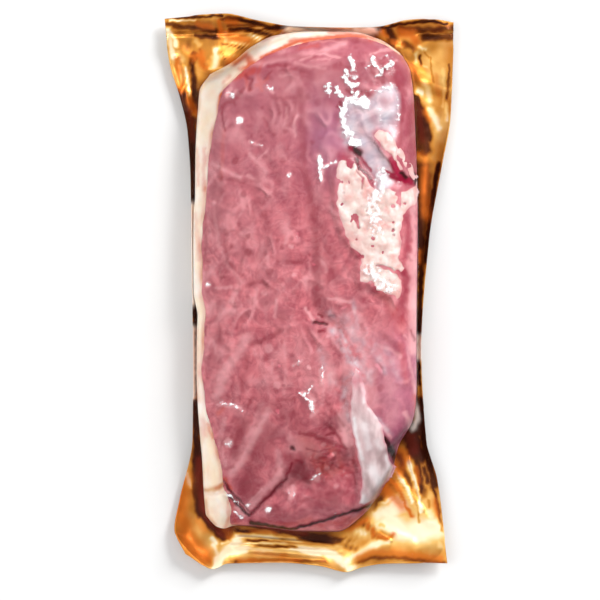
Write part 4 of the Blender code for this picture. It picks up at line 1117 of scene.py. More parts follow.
# Broad shades are colour alone; the cuts and seams are dark and are sunk into the lean as well
DARK_SHADES = (
    (((-3.9, 86.9), (-2.6, 70.5), (-2.1, 53.3), (1.3, 36.1), (3.4, 18.9), (3, -3.9)), 2.1, 0.42),
    (((-16.8, -59.3), (-21.9, -67.9), (-25.4, -77.8), (-26.7, -85.1)), 4.7, 0.5),
    (((-28.8, -55.9), (-31.4, -65.4)), 3, 0.45),
    (((-20.2, -47.3), (-10.3, -49.9), (-3.9, -57.6)), 3, 0.3),
    (((1.3, 38.3), (5.6, 23.2), (9, 8.2)), 4.7, 0.22),
    (((-37.4, 49), (-36.1, 38.3), (-40.9, 29.7)), 2.6, 0.22),
    (((-20.2, 34), (-16.8, 25.4), (-20.2, 13.8)), 2.1, 0.25),
)
DARK_CUTS = (
    (((1.7, -12), (7.7, -12.9)), 0.7, 1),
    (((3.9, -9), (5.6, -9.9)), 0.6, 1),
    (((8.6, -9.5), (10.8, -9)), 0.7, 1),
    (((3.9, -15.9), (6.5, -15.9)), 0.6, 0.9),
    (((-35.3, -80.8), (-33.5, -85.1), (-25.8, -94.6)), 0.5, 1),
    (((-25.4, -94.6), (-20.2, -89), (-15.9, -85.1), (-9.9, -78.7), (-7.3, -72.2)), 1, 1),
    (((-25.4, -97.6), (-14.6, -100.2), (-8.2, -100.6), (0.4, -98.5), (9, -95.5), (17.6, -93.3),
       (27.1, -89.9)), 0.7, 1),
    (((-3.9, -59.3), (4.7, -61.5), (15.5, -66.2)), 1.1, 0.75),
    (((7.7, -60.2), (10.8, -59.3)), 0.9, 0.85),
    (((-5.6, -71), (-2.6, -72.2)), 1.3, 0.85),
    (((-9, -75.7), (-2.6, -77.4), (-0.4, -80)), 1.9, 0.75),
    (((11.2, -73.5), (18.5, -76.5), (19.8, -80.8)), 1, 0.75),
    (((32.2, -61.5), (34.4, -66.7), (37, -70.5)), 1, 1),
    (((18.5, -66.2), (20.2, -75.7)), 1.3, 0.6),
    (((-3.9, -88.6), (5.6, -86), (13.3, -84.3)), 1, 0.55),
    (((7.3, -45.6), (15, -56.3)), 0.8, 0.4),
    (((-36.1, 25.4), (-31.8, 26.7), (-27.5, 22.8), (-28.4, 14.6), (-29.7, 8.6), (-34.8, 13.8),
       (-36.1, 20.6)), 0.9, 0.35),
    (((-25.4, 3.9), (-20.2, 5.2), (-14.6, 1.3)), 1, 0.45),
    (((-25.4, -21.9), (-20.2, -20.2), (-12.5, -16.3)), 1.2, 0.45),
    (((-44.7, 34), (-43.9, 23.2), (-44.3, 13.8)), 0.9, 0.45),
    (((-37.4, 80), (-37, 75.7), (-36.1, 69.7)), 0.6, 0.7),
    (((-34.8, 81.7), (-31.4, 80.8)), 0.7, 0.6),
    (((-17.6, 97.2), (-8.2, 97.6)), 0.9, 0.6),
    (((-12.9, 95), (-6, 95.9), (0, 93.7)), 1.1, 0.5),
    (((-19.4, 92), (-15.9, 94.6)), 0.7, 0.6),
    (((-38.3, 49.9), (-32.2, 48.2), (-27.9, 47.7)), 1, 0.45),
    (((-19.4, 74.8), (-17.2, 71.4)), 0.8, 0.45),
    (((-15.5, 83.4), (-4.3, 83.4)), 1.2, 0.4),
    (((-6.5, 81.7), (-6.5, 78.3), (-8.6, 71.8)), 1.1, 0.45),
    (((-24.5, 39.1), (-24.1, 32.2)), 1, 0.4),
    (((-9.5, 13.3), (-3, 13.3)), 0.9, 0.45),
    (((-26.7, -26.2), (-26.7, -31.8)), 1.1, 0.4),
    (((-28.4, -34.8), (-28.4, -40.9)), 1.3, 0.35),
    (((-37.4, -44.3), (-29.7, -44.3)), 1.1, 0.4),
    (((-23.6, -44.3), (-26.2, -47.7)), 0.9, 0.5),
    (((-12.9, -45.1), (-6, -45.1)), 0.9, 0.5),
    (((-27.9, -55.5), (-30.5, -61.1), (-31.4, -67.9)), 3, 0.6),
    (((-15.5, -58.9), (-20.2, -64.5), (-24.5, -72.2), (-27.1, -82.1)), 3.2, 0.55),
    (((-43.9, -14.2), (-44.3, -17.2)), 0.7, 0.7),
    (((-38.3, -14.2), (-37.4, -21.5), (-34, -23.6)), 1.3, 0.4),
    (((-6.9, -48.6), (-5.6, -57.6)), 0.9, 0.35),
    (((32.2, -18.5), (35.7, -21.5), (37.8, -24.9)), 1.4, 0.4),
    (((38.3, 13.8), (40.4, 9.5), (40.9, -2.6)), 1.3, 0.35),
    (((43.4, -15.5), (45.1, -19.8)), 0.6, 0.6),
    (((39.1, 83.4), (39.1, 66.2), (38.3, 61.9)), 1.2, 0.45),
    (((27.1, 101.9), (30.5, 99.8), (34.4, 102.8)), 1, 0.55),
    (((32.2, 92.9), (38.3, 94.6), (41.3, 95.5)), 1.7, 0.5),
    (((28.8, 89.9), (31.4, 92.9)), 1.1, 0.5),
    (((37.8, 91.2), (40.9, 85.1)), 1.3, 0.45),
    (((15.5, 92.9), (18.9, 86.9)), 1.3, 0.35),
    (((18.5, 97.2), (22.8, 98)), 1.3, 0.35),
    (((13.3, 81.7), (13.8, 78.3)), 0.9, 0.7),
    (((19.8, 85.1), (25.4, 83.4)), 1.1, 0.5),
    (((19.4, 78.7), (22.8, 77.4)), 0.6, 0.5),
    (((-27.1, 93.3), (-24.5, 91.2), (-25.4, 86.9)), 0.8, 0.7),
    (((-33.1, 81.7), (-30.5, 84.3), (-27.9, 87.7)), 0.9, 0.5),
    (((-37.4, 78.3), (-35.7, 81.7), (-32.2, 81.7)), 0.9, 0.55),
    (((34, 99.8), (39.1, 96.3), (40.9, 92)), 2.6, 0.55),
    (((34.8, 92.9), (37.4, 90.3), (40, 89.4)), 2.1, 0.6),
    (((13.3, 98), (15.9, 96.3)), 1.3, 0.4),
    (((25.4, 98), (27.1, 93.7)), 1.1, 0.6),
    (((15.9, 86.9), (18.5, 85.1), (21.9, 86)), 0.9, 0.6),
    (((24.5, 85.6), (27.1, 83.8)), 1.4, 0.75),
    (((18.5, 93.7), (21.1, 91.2)), 0.9, 0.5),
    (((28.8, 92), (31.4, 90.3)), 1.3, 0.6),
    (((39.1, 85.6), (40, 78.3), (39.6, 74)), 1.3, 0.55),
    (((20.2, 78.7), (22.8, 77.8)), 0.6, 0.7),
    (((0.4, -87.3), (6.9, -86), (11.2, -84.3)), 1.3, 0.45),
    (((-4.7, -95.9), (-1.3, -94.6)), 0.9, 0.5),
    (((-20.2, -96.8), (-14.6, -97.2)), 1.1, 0.5),
    (((19.4, -50.7), (22.8, -54.2), (26.2, -55.9)), 0.7, 0.4),
    (((-3.9, 107.5), (4.7, 109.2), (15.5, 109.6), (24.5, 107.5)), 1.5, 0.4),
    (((32.2, -64.5), (34.8, -61.1)), 0.5, 0.3),
    (((-1.7, -67.1), (5.6, -72.2), (10.8, -77.4)), 9.5, 0.24),
    (((-25.4, 95.5), (-18.5, 93.7), (-11.6, 92.9)), 2.6, 0.3),
    (((-20.2, 99.8), (-8.2, 101.5), (2.1, 100.6)), 1.3, 0.35),
    (((-9, -70.5), (-5.6, -73.1), (-1.7, -75.7)), 2.6, 0.6),
    (((-3.9, -67.9), (-2.6, -72.2), (-0.4, -77.4)), 1.7, 0.55),
    (((14.2, -67.9), (16.8, -74), (18.5, -80)), 2.6, 0.5),
    (((9, -56.8), (12.5, -61.1), (15, -65.4)), 0.9, 0.7),
    (((-3, -59.3), (2.1, -59.8), (7.3, -62.8)), 0.9, 0.65),
    (((5.6, -81.7), (11.6, -84.3), (18.5, -86)), 2.1, 0.4),
    (((-1.3, -65.8), (3.9, -67.5), (9, -66.2)), 0.6, 0.65),
    (((0.4, -71.4), (5.6, -72.2), (10.8, -70.5)), 0.6, 0.6),
    (((34, 100.6), (36.5, 92), (37.4, 83.4)), 2.6, 0.3),
    (((27.9, 105.8), (35.7, 101.5)), 2.1, 0.25),
    (((38.3, 79.1), (40, 66.2)), 1.7, 0.3),
    (((-8.2, 107.5), (9, 110.1), (26.2, 108.4), (37, 102.3)), 2.1, 0.25),
    (((-14.6, 92.9), (-3.9, 93.7), (9, 94.6), (18.5, 93.7)), 4.7, 0.3),
    (((29.7, 98), (34, 94.6), (37.4, 88.6)), 3.9, 0.6),
    (((43.4, 79.1), (44.3, 66.2), (44.3, 53.3)), 2.6, 0.6),
    (((5.6, -7.7), (9, -10.3)), 3.4, 0.25),
    (((4.7, -86), (10.8, -86.9)), 3.9, 0.5),
    (((-14.2, -94.6), (-8.2, -96.3)), 3.4, 0.5),
    (((14.2, -74), (17.6, -80)), 3.4, 0.45),
    (((32.2, 107.5), (39.1, 100.6)), 2.6, 0.2),
    (((7.3, 20.6), (7.3, 6)), 3.4, 0.16),
    (((-11.6, 88.6), (-10.8, 80.8)), 3.9, 0.22),
    (((7.3, 86.9), (8.2, 81.7)), 3.4, 0.25),
)
DARK_SPOTS = (
    ((-31.4, 56.8), 1.7, 0.5), ((-19.8, 79.5), 0.9, 0.5), ((-12.5, 77), 1.1, 0.5),
    ((-20.2, 67.1), 0.9, 0.5), ((-24.5, 67.5), 0.9, 0.5), ((-15, 67.9), 1, 0.5),
    ((-18.9, 58.5), 1.1, 0.5), ((-10.3, 69.2), 1.1, 0.5), ((-11.2, 56.8), 1.4, 0.5),
    ((-0.9, 83.8), 1.5, 0.45), ((3.9, 81.7), 1.7, 0.4), ((1.3, 64.5), 1.1, 0.5),
    ((-27.9, 42.6), 1.3, 0.5), ((-16.8, 41.3), 0.8, 0.5), ((-18.9, 33.5), 1.1, 0.5),
    ((-29.7, 29.7), 1, 0.5), ((-33.1, 20.2), 0.9, 0.5), ((-26.2, 24.5), 1.1, 0.55),
    ((-26.2, 17.6), 1.9, 0.6), ((-18.5, 17.2), 1.2, 0.6), ((-13.3, 22.8), 0.9, 0.6),
    ((-11.6, 19.8), 1, 0.5), ((-7.3, 23.6), 1, 0.5), ((-4.7, 21.1), 1, 0.5),
    ((-3, 16.8), 1.1, 0.45), ((0, 16.8), 1, 0.45), ((-13.3, 13.3), 1.2, 0.55),
    ((-16.8, 9.5), 1.7, 0.6), ((-12.5, 5.6), 1.3, 0.5), ((-26.2, 3.4), 1.3, 0.45),
    ((-28.4, 8.2), 1, 0.5), ((-3.9, 4.3), 1, 0.5), ((-6.5, 0.9), 1.1, 0.45),
    ((-37, 7.3), 1.1, 0.5), ((-43, 14.2), 1.1, 0.55), ((-42.6, 26.7), 1, 0.45),
    ((2.6, 35.7), 2.1, 0.35), ((-18.1, -3.9), 1, 0.5), ((-30.5, -4.3), 1.7, 0.45),
    ((-28.8, -11.2), 1.5, 0.45), ((-42.6, -27.1), 1.1, 0.5), ((-43.4, -36.1), 0.9, 0.5),
    ((-18.5, -27.1), 1.5, 0.45), ((-4.3, -34.4), 1.1, 0.5), ((-7.3, -26.2), 1, 0.4),
    ((-10.8, -39.1), 0.9, 0.5), ((-14.2, -41.3), 1.3, 0.45), ((-24.9, -45.6), 1.1, 0.8),
    ((-11.2, -52.5), 1.9, 0.5), ((-33.1, -61.1), 1, 0.7), ((-32.7, -68.4), 0.9, 0.5),
    ((-7.3, -65.8), 1.1, 0.95), ((-37, 79.1), 1, 0.6), ((-37.8, 78.3), 0.9, 0.6),
    ((12.5, 80), 1.1, 0.75), ((-0.4, -6.5), 0.9, 0.5), ((12.5, -15.5), 1.1, 0.4),
    ((13.3, -26.2), 1.3, 0.4), ((22.4, -13.3), 1, 0.35), ((22.4, -38.3), 1.3, 0.4),
    ((18.5, -43.9), 1.4, 0.45), ((30.5, -40), 1.7, 0.35), ((4.7, 9.5), 1.7, 0.25),
    ((9, 18.9), 2.6, 0.3), ((22.8, 16.3), 0.9, 0.7), ((19.8, 21.1), 1, 0.4),
)
LEAN_INSET = 0.5 * MM
CUT_DEPTH = 0.5 * MM
LUMP_HEIGHT = 0.30 * MM
TORN_HEIGHT = 1.9 * MM
GASH_DEPTH = 0.6 * MM
ROUNDED_EDGE = 0.9 * MM


def raw_lean():
    nodes = Nodes("raw_lean")
    mottle = nodes.ramp(nodes.noise(190, detail=2, distortion=0.7), 0.34, 0.66)
    flesh = nodes.mix(mottle, (0.435, 0.086, 0.117), (0.690, 0.196, 0.227))
    fibre = nodes.ramp(nodes.noise(560, detail=2, stretch=(1, 0.35, 1)), 0.50, 0.75, 0.0, 0.18)
    flesh = nodes.mix(fibre, flesh, (0.80, 0.28, 0.31))
    flesh = nodes.mix(nodes.seams(105, 0.055, 0.22), flesh, (0.84, 0.36, 0.39))
    flesh = nodes.mix(nodes.seams(125, 0.045, 0.32), flesh, (0.33, 0.035, 0.068))
    flesh = nodes.mix(nodes.painted("mauve"), flesh, (0.40, 0.125, 0.165))
    flesh = nodes.mix(nodes.painted("violet"), flesh, (0.43, 0.150, 0.260))
    flesh = nodes.mix(nodes.painted("rust"), flesh, (0.60, 0.085, 0.060))
    # Pale membrane and lumps, with painted sheen of the film on its folds
    flesh = nodes.mix(nodes.painted("pale"), flesh, (0.90, 0.47, 0.49))
    # Dark marks, and painted shade at the feet of the film's folds
    flesh = nodes.mix(nodes.painted("dark_and_shade"), flesh, (0.26, 0.010, 0.028))
    silverskin = nodes.mix(mottle, (0.50, 0.45, 0.52), (0.84, 0.75, 0.78))
    flesh = nodes.mix(nodes.painted("silver"), flesh, silverskin)
    flesh = nodes.mix(nodes.painted("blood"), flesh, (0.30, 0.003, 0.034))
    # Black painted shade in the gaps between the meat's parts
    flesh = nodes.mix(nodes.painted("gap_shade"), flesh, (0.030, 0.002, 0.003))
    nodes.link(flesh, nodes.shader.inputs["Base Color"])
    nodes.set(Roughness=0.38, Specular_IOR_Level=0.2, Subsurface_Weight=0.05,
              Subsurface_Radius=(1.0, 0.35, 0.25), Subsurface_Scale=1.5 * MM)
    nodes.bump(nodes.noise(300, detail=2, stretch=(1, 0.6, 1)), 0.22, 0.5 * MM)
    return nodes.material


def spots(point, places):
    """0 to 1 over a list of spots, flat in the middle with a quick fall at the edge."""
    moved = ragged(point, 0.4 * MM, 2 * MM, 73)
    total = np.zeros(point.shape[:-1])
    for centre, radius, strength in places:
        away = np.linalg.norm(moved - np.array(centre) * MM, axis=-1) / (radius * MM)
        total = np.maximum(total, strength * smooth_step((1.3 - away) / 0.7))
    return total


def to_outline(point, outline):
    """Distance in metres inside a closed outline in millimetres, below 0 outside it."""
    away = from_line(point, outline + outline[:1])
    inside = np.zeros(point.shape[:-1], bool)
    x, y = point[..., 0], point[..., 1]
    corners = np.array(outline) * MM
    for start, end in zip(corners, np.roll(corners, -1, axis=0)):
        crosses = (start[1] > y) != (end[1] > y)
        rise = (end[1] - start[1]) or 1.0
        inside ^= crosses & (x < start[0] + (y - start[1]) * (end[0] - start[0]) / rise)
    return np.where(inside, away, -away)


def from_oval(point, oval):
    """How far out points of the table are from the middle of an oval, where 1 is the oval itself."""
    centre, radii = oval
    return np.linalg.norm((point - np.array(centre) * MM) / np.array(radii) / MM, axis=-1)


def rise_from(coordinate, start, width):
    """0 up to a start in millimetres across the table, rising to 1 over a width in millimetres."""
    return smooth_step((coordinate - start * MM) / (width * MM))


def film_folds(point):
    """-1 to 1 across the soft folds where the film stands off the lean: crests above 0, their feet below."""
    bent = ragged(point, 3.5 * MM, 9 * MM, 91)
    level = noise(bent * np.array((1, 0.65)), 8 * MM, 93)
    patches = smooth_step(0.45 + 1.1 * noise(point, 14 * MM, 94)) * rise_from(point[..., 1], -55, 20)
    patches *= 1 - 0.85 * np.exp(-from_oval(point, SMOOTH_MIDDLE) ** 2)
    return patches * (np.exp(-(level / 0.24) ** 2) - 0.8 * np.exp(-((level - 0.45) / 0.20) ** 2))


def in_gash(point):
    """0 outside the raw gash, rising to 1 in its middle."""
    return smooth_step(1 - from_oval(point, GASH))


def lean_relief(point):
    """Fine height of the lean: shallow lumps, and its gash and nicks cut in."""
    lumps = LUMP_HEIGHT * layered_noise(point, 9 * MM, 81)
    torn = in_gash(point) * (TORN_HEIGHT * layered_noise(point, 4 * MM, 82) - GASH_DEPTH)
    return lumps + torn - CUT_DEPTH * streaks(point, DARK_CUTS)


def make_lean():
    mesh, across, along = grid("lean_muscle", spaced((-1, 1, 170)), spaced((-1, 1, 380)))
    first = -1 + LEAN_INSET / (BREAST_LENGTH / 2)
    a, b = across, along
    for _ in range(4):
        b = first + (along + 1) / 2 * (lean_end(a) - first)
        left = lean_left(b)
        a = left + (across + 1) / 2 * (1 - LEAN_INSET / (BREAST_WIDTH / 2) - left)
    point = plan(a, b)
    height = breast_height(a, b) + lean_relief(point)
    rim = 1 - edge_round(across, along, 1.5 * MM, 1.5 * MM)
    move_vertices(mesh, point, height - ROUNDED_EDGE * rim)

    # The film's folds paint the lean: a sheen on their crests and a shade at their feet
    folds = film_folds(point)
    cloud = layered_noise(ragged(point, 2.5 * MM, 7 * MM, 86) * np.array((1, 0.75)), 8 * MM, 88, 2)
    # Pale: membrane streaks, lumps, painted sheen on the film's fold crests and random pale clouds
    pale = 0.9 * np.maximum(streaks(point, PALE_AND_SHEEN_STREAKS), spots(point, PALE_SPOTS))
    pale = np.maximum(pale, 0.30 * folds) + 0.22 * smooth_step(1.2 * cloud)
    paint(mesh, "pale", np.clip(pale, 0, 1))
    paint(mesh, "mauve", 0.6 * rise_from(point[..., 1], 5, 80))

    gash = in_gash(point)
    raw = 0.8 * gash * smooth_step(0.5 + 1.2 * noise(point, 6 * MM, 98))
    paint(mesh, "rust", np.maximum(streaks(point, RUST), raw))

    freckled = smooth_step(noise(point, 20 * MM, 95) + 0.5)
    freckles = freckled * smooth_step((noise(point, 2.6 * MM, 94) - 0.35) / 0.3)
    # Dark: cuts, broad shades, spots and freckles, painted shade at the feet of the film's folds, and darker
    # clouds
    cuts = streaks(point, DARK_SHADES + DARK_CUTS)
    dark_and_shade = np.maximum.reduce([cuts, 0.8 * spots(point, DARK_SPOTS), 0.25 * freckles])
    dark_and_shade = np.maximum(dark_and_shade, -0.28 * folds) + 0.16 * smooth_step(-0.1 - 1.3 * cloud)
    torn = gash * smooth_step(layered_noise(point, 4.5 * MM, 96) + 0.45)
    paint(mesh, "dark_and_shade", np.clip(np.maximum(dark_and_shade, 0.7 * torn), 0, 1))
    paint(mesh, "blood", np.clip(1.3 * streaks(point, BLOOD), 0, 1))
    # Black painted shade in the gaps between the meat's parts
    paint(mesh, "gap_shade", np.clip(1.3 * streaks(point, GAP_SHADES), 0, 1))

    tinge = np.exp(-from_oval(point, TINGE) ** 2)
    lower_right = rise_from(point[..., 0], 18, 20) * rise_from(-point[..., 1], 8, 20)
    paint(mesh, "violet", np.clip(0.8 * tinge + 0.55 * lower_right, 0, 1))

    silver = smooth_step((to_outline(point, SILVERSKIN) + 1.5 * MM) / (3 * MM))
    silver *= 0.75 + 0.4 * noise(point, 5 * MM, 97)
    threads = streaks(point, SILVER_STREAKS, 1.8) * (0.55 + 0.7 * layered_noise(point, 3.5 * MM, 99))
    paint(mesh, "silver", np.clip(np.maximum(silver, threads), 0, 1))
    close_underneath(mesh, FAT_THICKNESS)
    add_piece("lean_muscle", mesh, raw_lean(), "breast_lean")


make_lean()


# The patch of white fat lies on the right of the lean in plump lobes, parted by creases and bloody veins
# and pricked with small dark pits.

PATCH_MAIN = (
    (12.5, 55.9), (15, 58.5), (17.6, 57.6), (19.8, 55.9), (21.9, 52.5), (24.5, 50.3), (26.7, 47.3),
    (27.9, 44.7), (29.7, 43.9), (31.8, 47.3), (34.8, 46.4), (37.4, 44.7), (40, 46.4), (43, 45.6),
    (45.6, 47.3), (46.4, 43.9), (45.6, 38.7), (43, 37.8), (40.9, 33.5), (39.6, 28.4), (38.7, 21.9),
    (40, 15.5), (40.9, 11.2), (38.3, 8.6), (39.6, 5.2), (39.1, 0.9), (37.4, -3), (36.1, -0.9), (32.7, 0),
    (28.8, 1.7), (25.8, 5.2), (22.8, 4.3), (21.5, 5.2), (21.1, 10.3), (22.4, 15.5), (19.4, 18.9),
    (15.9, 24.1), (13.3, 30.1), (12, 37), (11.6, 43.9), (11.2, 49.9),
)
PATCH_UPPER = (
    (27.1, 67.9), (29.7, 70.1), (33.5, 69.2), (36.5, 65.8), (38.3, 61.9), (37.4, 57.6), (38.7, 55),
    (40.9, 52.5), (39.1, 51.6), (36.5, 55), (34, 58.5), (30.5, 62.8),
)
PATCH_RIGHT = (
    (38.7, 62.4), (41.3, 59.3), (43.9, 55.5), (46.0, 49.9), (44.7, 48.2), (41.7, 52.5), (39.1, 56.8),
    (37.8, 59.8),
)

# Bloody veins and small pits in the patch: points or centre, half width or radius, and strength
VEINS = (
    (((20.2, 57.6), (21.5, 53.3), (24.5, 51.6), (26.7, 48.2)), 0.8, 1),
    (((27.9, 64.9), (30.1, 61.5), (32.2, 58.5), (34, 56.3)), 0.6, 1),
    (((34, 58.5), (36.5, 53.3), (39.1, 49.9), (41.7, 48.2)), 1.5, 0.95),
    (((31.4, 52.5), (34.8, 51.2), (40, 51.2)), 0.9, 1),
    (((39.6, 52), (41.3, 49.4)), 1, 1),
    (((15.9, 59.3), (17.6, 55.9)), 1.3, 0.7),
    (((29.2, 12), (34.8, 10.3), (40, 7.3)), 0.6, 0.9),
    (((22.4, 58.5), (24.9, 54.6)), 0.6, 0.8),
    (((38.3, 15.5), (40.9, 12)), 0.7, 0.7),
    (((37.4, 9.5), (39.1, 7.7)), 1.1, 0.8),
    (((38.3, 46.4), (38.7, 37.8)), 0.7, 0.5),
    (((19.4, 33.5), (21.1, 28.4)), 0.6, 0.9),
    (((37.8, 47.3), (39.1, 48.6)), 0.9, 0.8),
    (((24.5, 50.7), (27.1, 46.4)), 0.7, 0.5),
    (((15, 57.6), (17.6, 54.2)), 0.9, 0.7),
    (((20.2, 52.5), (22.8, 49), (22.4, 44.7)), 0.5, 0.6),
    (((32.2, 52.5), (35.7, 49.9), (38.3, 46.4)), 0.7, 0.7),
    (((32.2, 47.3), (36.5, 46), (41.7, 46.9)), 2.6, 0.8),
)
PITS = (
    ((29.2, 42.6), 0.8, 1), ((27.5, 41.3), 0.6, 0.8), ((35.7, 37.4), 0.7, 1),
    ((35.7, 30.5), 0.6, 0.8), ((35.7, 27.1), 0.7, 1), ((36.1, 24.9), 0.6, 0.6),
    ((27.1, 23.6), 0.8, 1), ((27.1, 20.2), 0.6, 0.85), ((24.5, 35.3), 0.6, 0.6),
    ((40.9, 38.7), 0.7, 0.7), ((40.9, 33.5), 0.8, 0.7), ((40.9, 21.1), 0.7, 0.8),
    ((34.8, 45.6), 0.7, 0.7), ((37.4, 42.6), 0.7, 0.8), ((20.2, 23.2), 0.6, 0.5),
    ((29.7, 50.3), 0.7, 0.8), ((42.6, 54.6), 0.9, 0.7), ((38.3, 47.7), 0.9, 0.9),
    ((22.8, 15.9), 0.7, 0.8), ((14.6, 43), 0.5, 0.4),
)
PAD_RISE = 0.9 * MM
PAD_CELL = 0.42 * MM
PAD_SUNK = 0.5 * MM
PAD_SKIRT = 0.3 * MM
LOBE_HEIGHT = 0.50 * MM
VEIN_DEPTH = 0.9 * MM
PATCH_UNDERSIDE = 12 * MM


def on_breast(point):
    """Plan position of points of the table on the breast, found by moving towards them."""
    across, along = point[..., 0] / (BREAST_WIDTH / 2), point[..., 1] / (BREAST_LENGTH / 2)
    for _ in range(20):
        miss = point - plan(across, along)
        across = np.clip(across + miss[..., 0] / (BREAST_WIDTH / 2), -1, 1)
        along = np.clip(along + miss[..., 1] / (BREAST_LENGTH / 2), -1, 1)
    return across, along


def lean_surface(point):
    return breast_height(*on_breast(point)) + lean_relief(point)


def low_pad(name, low, high, depth_inside, edge_width, lumps):
    """A pad that swells out of the lean where depth_inside(point) is above 0, and is cut off just outside."""
    size = (np.array(high) - np.array(low)) * MM
    cells = (size / PAD_CELL).astype(int)
    columns, rows = (np.linspace(low[i], high[i], cells[i]) * MM for i in (0, 1))
    mesh, x, y = grid(name, columns, rows)
    point = np.stack([x, y], axis=-1)
    inside = depth_inside(point)
    swell = quarter_round(inside + PAD_SKIRT, edge_width) * (PAD_RISE + lumps(point))
    surface = lean_surface(point)
    move_vertices(mesh, point, surface - PAD_SUNK + np.where(inside > -PAD_SKIRT, swell, 0))
    bm = bmesh.new()
    bm.from_mesh(mesh)
    bm.verts.ensure_lookup_table()
    outer = [bm.verts[i] for i in np.flatnonzero(inside < -2 * PAD_SKIRT)]
    bmesh.ops.delete(bm, geom=outer, context="VERTS")
    bm.to_mesh(mesh)
    bm.free()
    return mesh


def white_fat():
    nodes = Nodes("fat_patch")
    cloudy = nodes.ramp(nodes.noise(190, detail=3), 0.38, 0.62)
    cream = nodes.mix(cloudy, (0.76, 0.54, 0.49), (0.90, 0.79, 0.74))
    flushed = nodes.ramp(nodes.noise(150, detail=3), 0.50, 0.66, 0.0, 0.55)
    blush = nodes.mix(flushed, cream, (0.74, 0.32, 0.30))
    rosy = nodes.mix(nodes.painted("rosy"), blush, (0.74, 0.30, 0.31))
    bloody = nodes.mix(nodes.painted("blood"), rosy, (0.24, 0.004, 0.018))
    nodes.link(bloody, nodes.shader.inputs["Base Color"])
    nodes.set(Roughness=0.36, Subsurface_Weight=0.2, Subsurface_Radius=(1.0, 0.6, 0.45),
              Subsurface_Scale=1.5 * MM)
    nodes.bump(nodes.noise(320, detail=3), 0.35, 0.4 * MM)
    return nodes.material


def to_patch(point):
    """Distance in metres inside the patch's three parts, below 0 outside them."""
    return np.maximum.reduce([to_outline(point, part) for part in (PATCH_MAIN, PATCH_UPPER, PATCH_RIGHT)])


def make_fat_patch():
    def inside(point):
        return to_patch(ragged(point, 0.8 * MM, 4 * MM, 101))

    def bloody(point):
        return np.maximum(streaks(point, VEINS), spots(point, PITS))

    def lumps(point):
        return LOBE_HEIGHT * layered_noise(point, 5 * MM, 103) - VEIN_DEPTH * bloody(point)

    mesh = low_pad("white_fat_patch", (9, -5), (47.5, 71), inside, 2.4 * MM, lumps)
    point = vertex_places(mesh)[:, :2]
    paint(mesh, "blood", np.clip(bloody(point), 0, 1))
    near_edge = 0.75 * smooth_step(1 - inside(point) / (1.6 * MM))
    paint(mesh, "rosy", near_edge * (0.6 + 0.5 * noise(point, 6 * MM, 104)))
    close_underneath(mesh, PATCH_UNDERSIDE)
    add_piece("white_fat_patch", mesh, white_fat(), "fat_patch")


make_fat_patch()


# The tendon is a flat silvery strip that surfaces out of the lean and widens to the lower right edge.

TENDON = (
    (19.8, -31.4), (21.9, -33.5), (23.6, -39.1), (24.9, -46.9), (27.9, -50.7), (31.4, -56.3), (32.2, -61.5),
    (33.5, -66.7), (34.8, -71), (36.5, -74.4), (35.3, -78.3), (32.2, -81.7), (29.7, -85.6), (26.7, -89),
    (23.6, -90.7), (21.1, -90.3), (21.5, -86.9), (22.4, -79.1), (21.1, -70.5), (18.9, -61.1), (17.2, -50.7),
    (18.5, -41.3), (18.1, -35.3),
)

# Painted white highlights and painted grey shade along it: the points of each in millimetres, its half width
# and its strength
TENDON_HIGHLIGHTS = (
    (((18.9, -53.3), (20.2, -62.8), (22.4, -70.5)), 1.1, 0.9),
    (((23.6, -55.9), (25.4, -65.4)), 1.7, 0.6),
    (((26.7, -74.8), (30.1, -80.8)), 1.9, 0.75),
    (((22.4, -86.9), (24.9, -90.3)), 1.7, 0.7),
    (((25.8, -49), (30.5, -54.2), (34, -60.2)), 0.9, 0.8),
    (((22.8, -38.7), (23.6, -46.4)), 1, 0.8),
    (((32.7, -69.2), (34.8, -74.8)), 0.9, 0.5),
    (((28.8, -62.8), (30.5, -66.2)), 1.3, 0.4),
)
TENDON_SHADES = (
    (((18.5, -67.9), (20.6, -72.2), (21.5, -78.3)), 1.5, 0.9),
    (((24.5, -79.1), (27.9, -85.1)), 1.5, 0.45),
    (((29.7, -67.9), (31.4, -74)), 1.3, 0.3),
    (((21.1, -75.7), (24.5, -77.4)), 1.3, 0.35),
    (((21.9, -69.2), (24.5, -74)), 1.3, 0.25),
    (((28.8, -54.2), (27.1, -60.2)), 0.9, 0.2),
)
FIBRE_HEIGHT = 0.25 * MM
TENDON_UNDERSIDE = 10 * MM


def silver_tendon():
    nodes = Nodes("tendon")
    sheen = nodes.ramp(nodes.noise(220, detail=4, stretch=(1, 0.3, 1)), 0.35, 0.65)
    silver = nodes.mix(sheen, (0.60, 0.41, 0.42), (0.91, 0.74, 0.74))
    pink = nodes.mix(nodes.ramp(nodes.noise(80, detail=3), 0.5, 0.7, 0.0, 0.3), silver, (0.72, 0.38, 0.40))
    # Painted highlights in white and painted shade in grey
    white = nodes.mix(nodes.painted("white"), pink, (0.94, 0.88, 0.89))
    grey = nodes.mix(nodes.painted("shade"), white, (0.30, 0.20, 0.19))
    blended = nodes.mix(nodes.painted("flesh"), grey, (0.66, 0.22, 0.27))
    nodes.link(blended, nodes.shader.inputs["Base Color"])
    nodes.set(Roughness=0.28)
    nodes.bump(nodes.noise(500, detail=3, stretch=(1, 0.25, 1)), 0.3, 0.3 * MM)
    return nodes.material


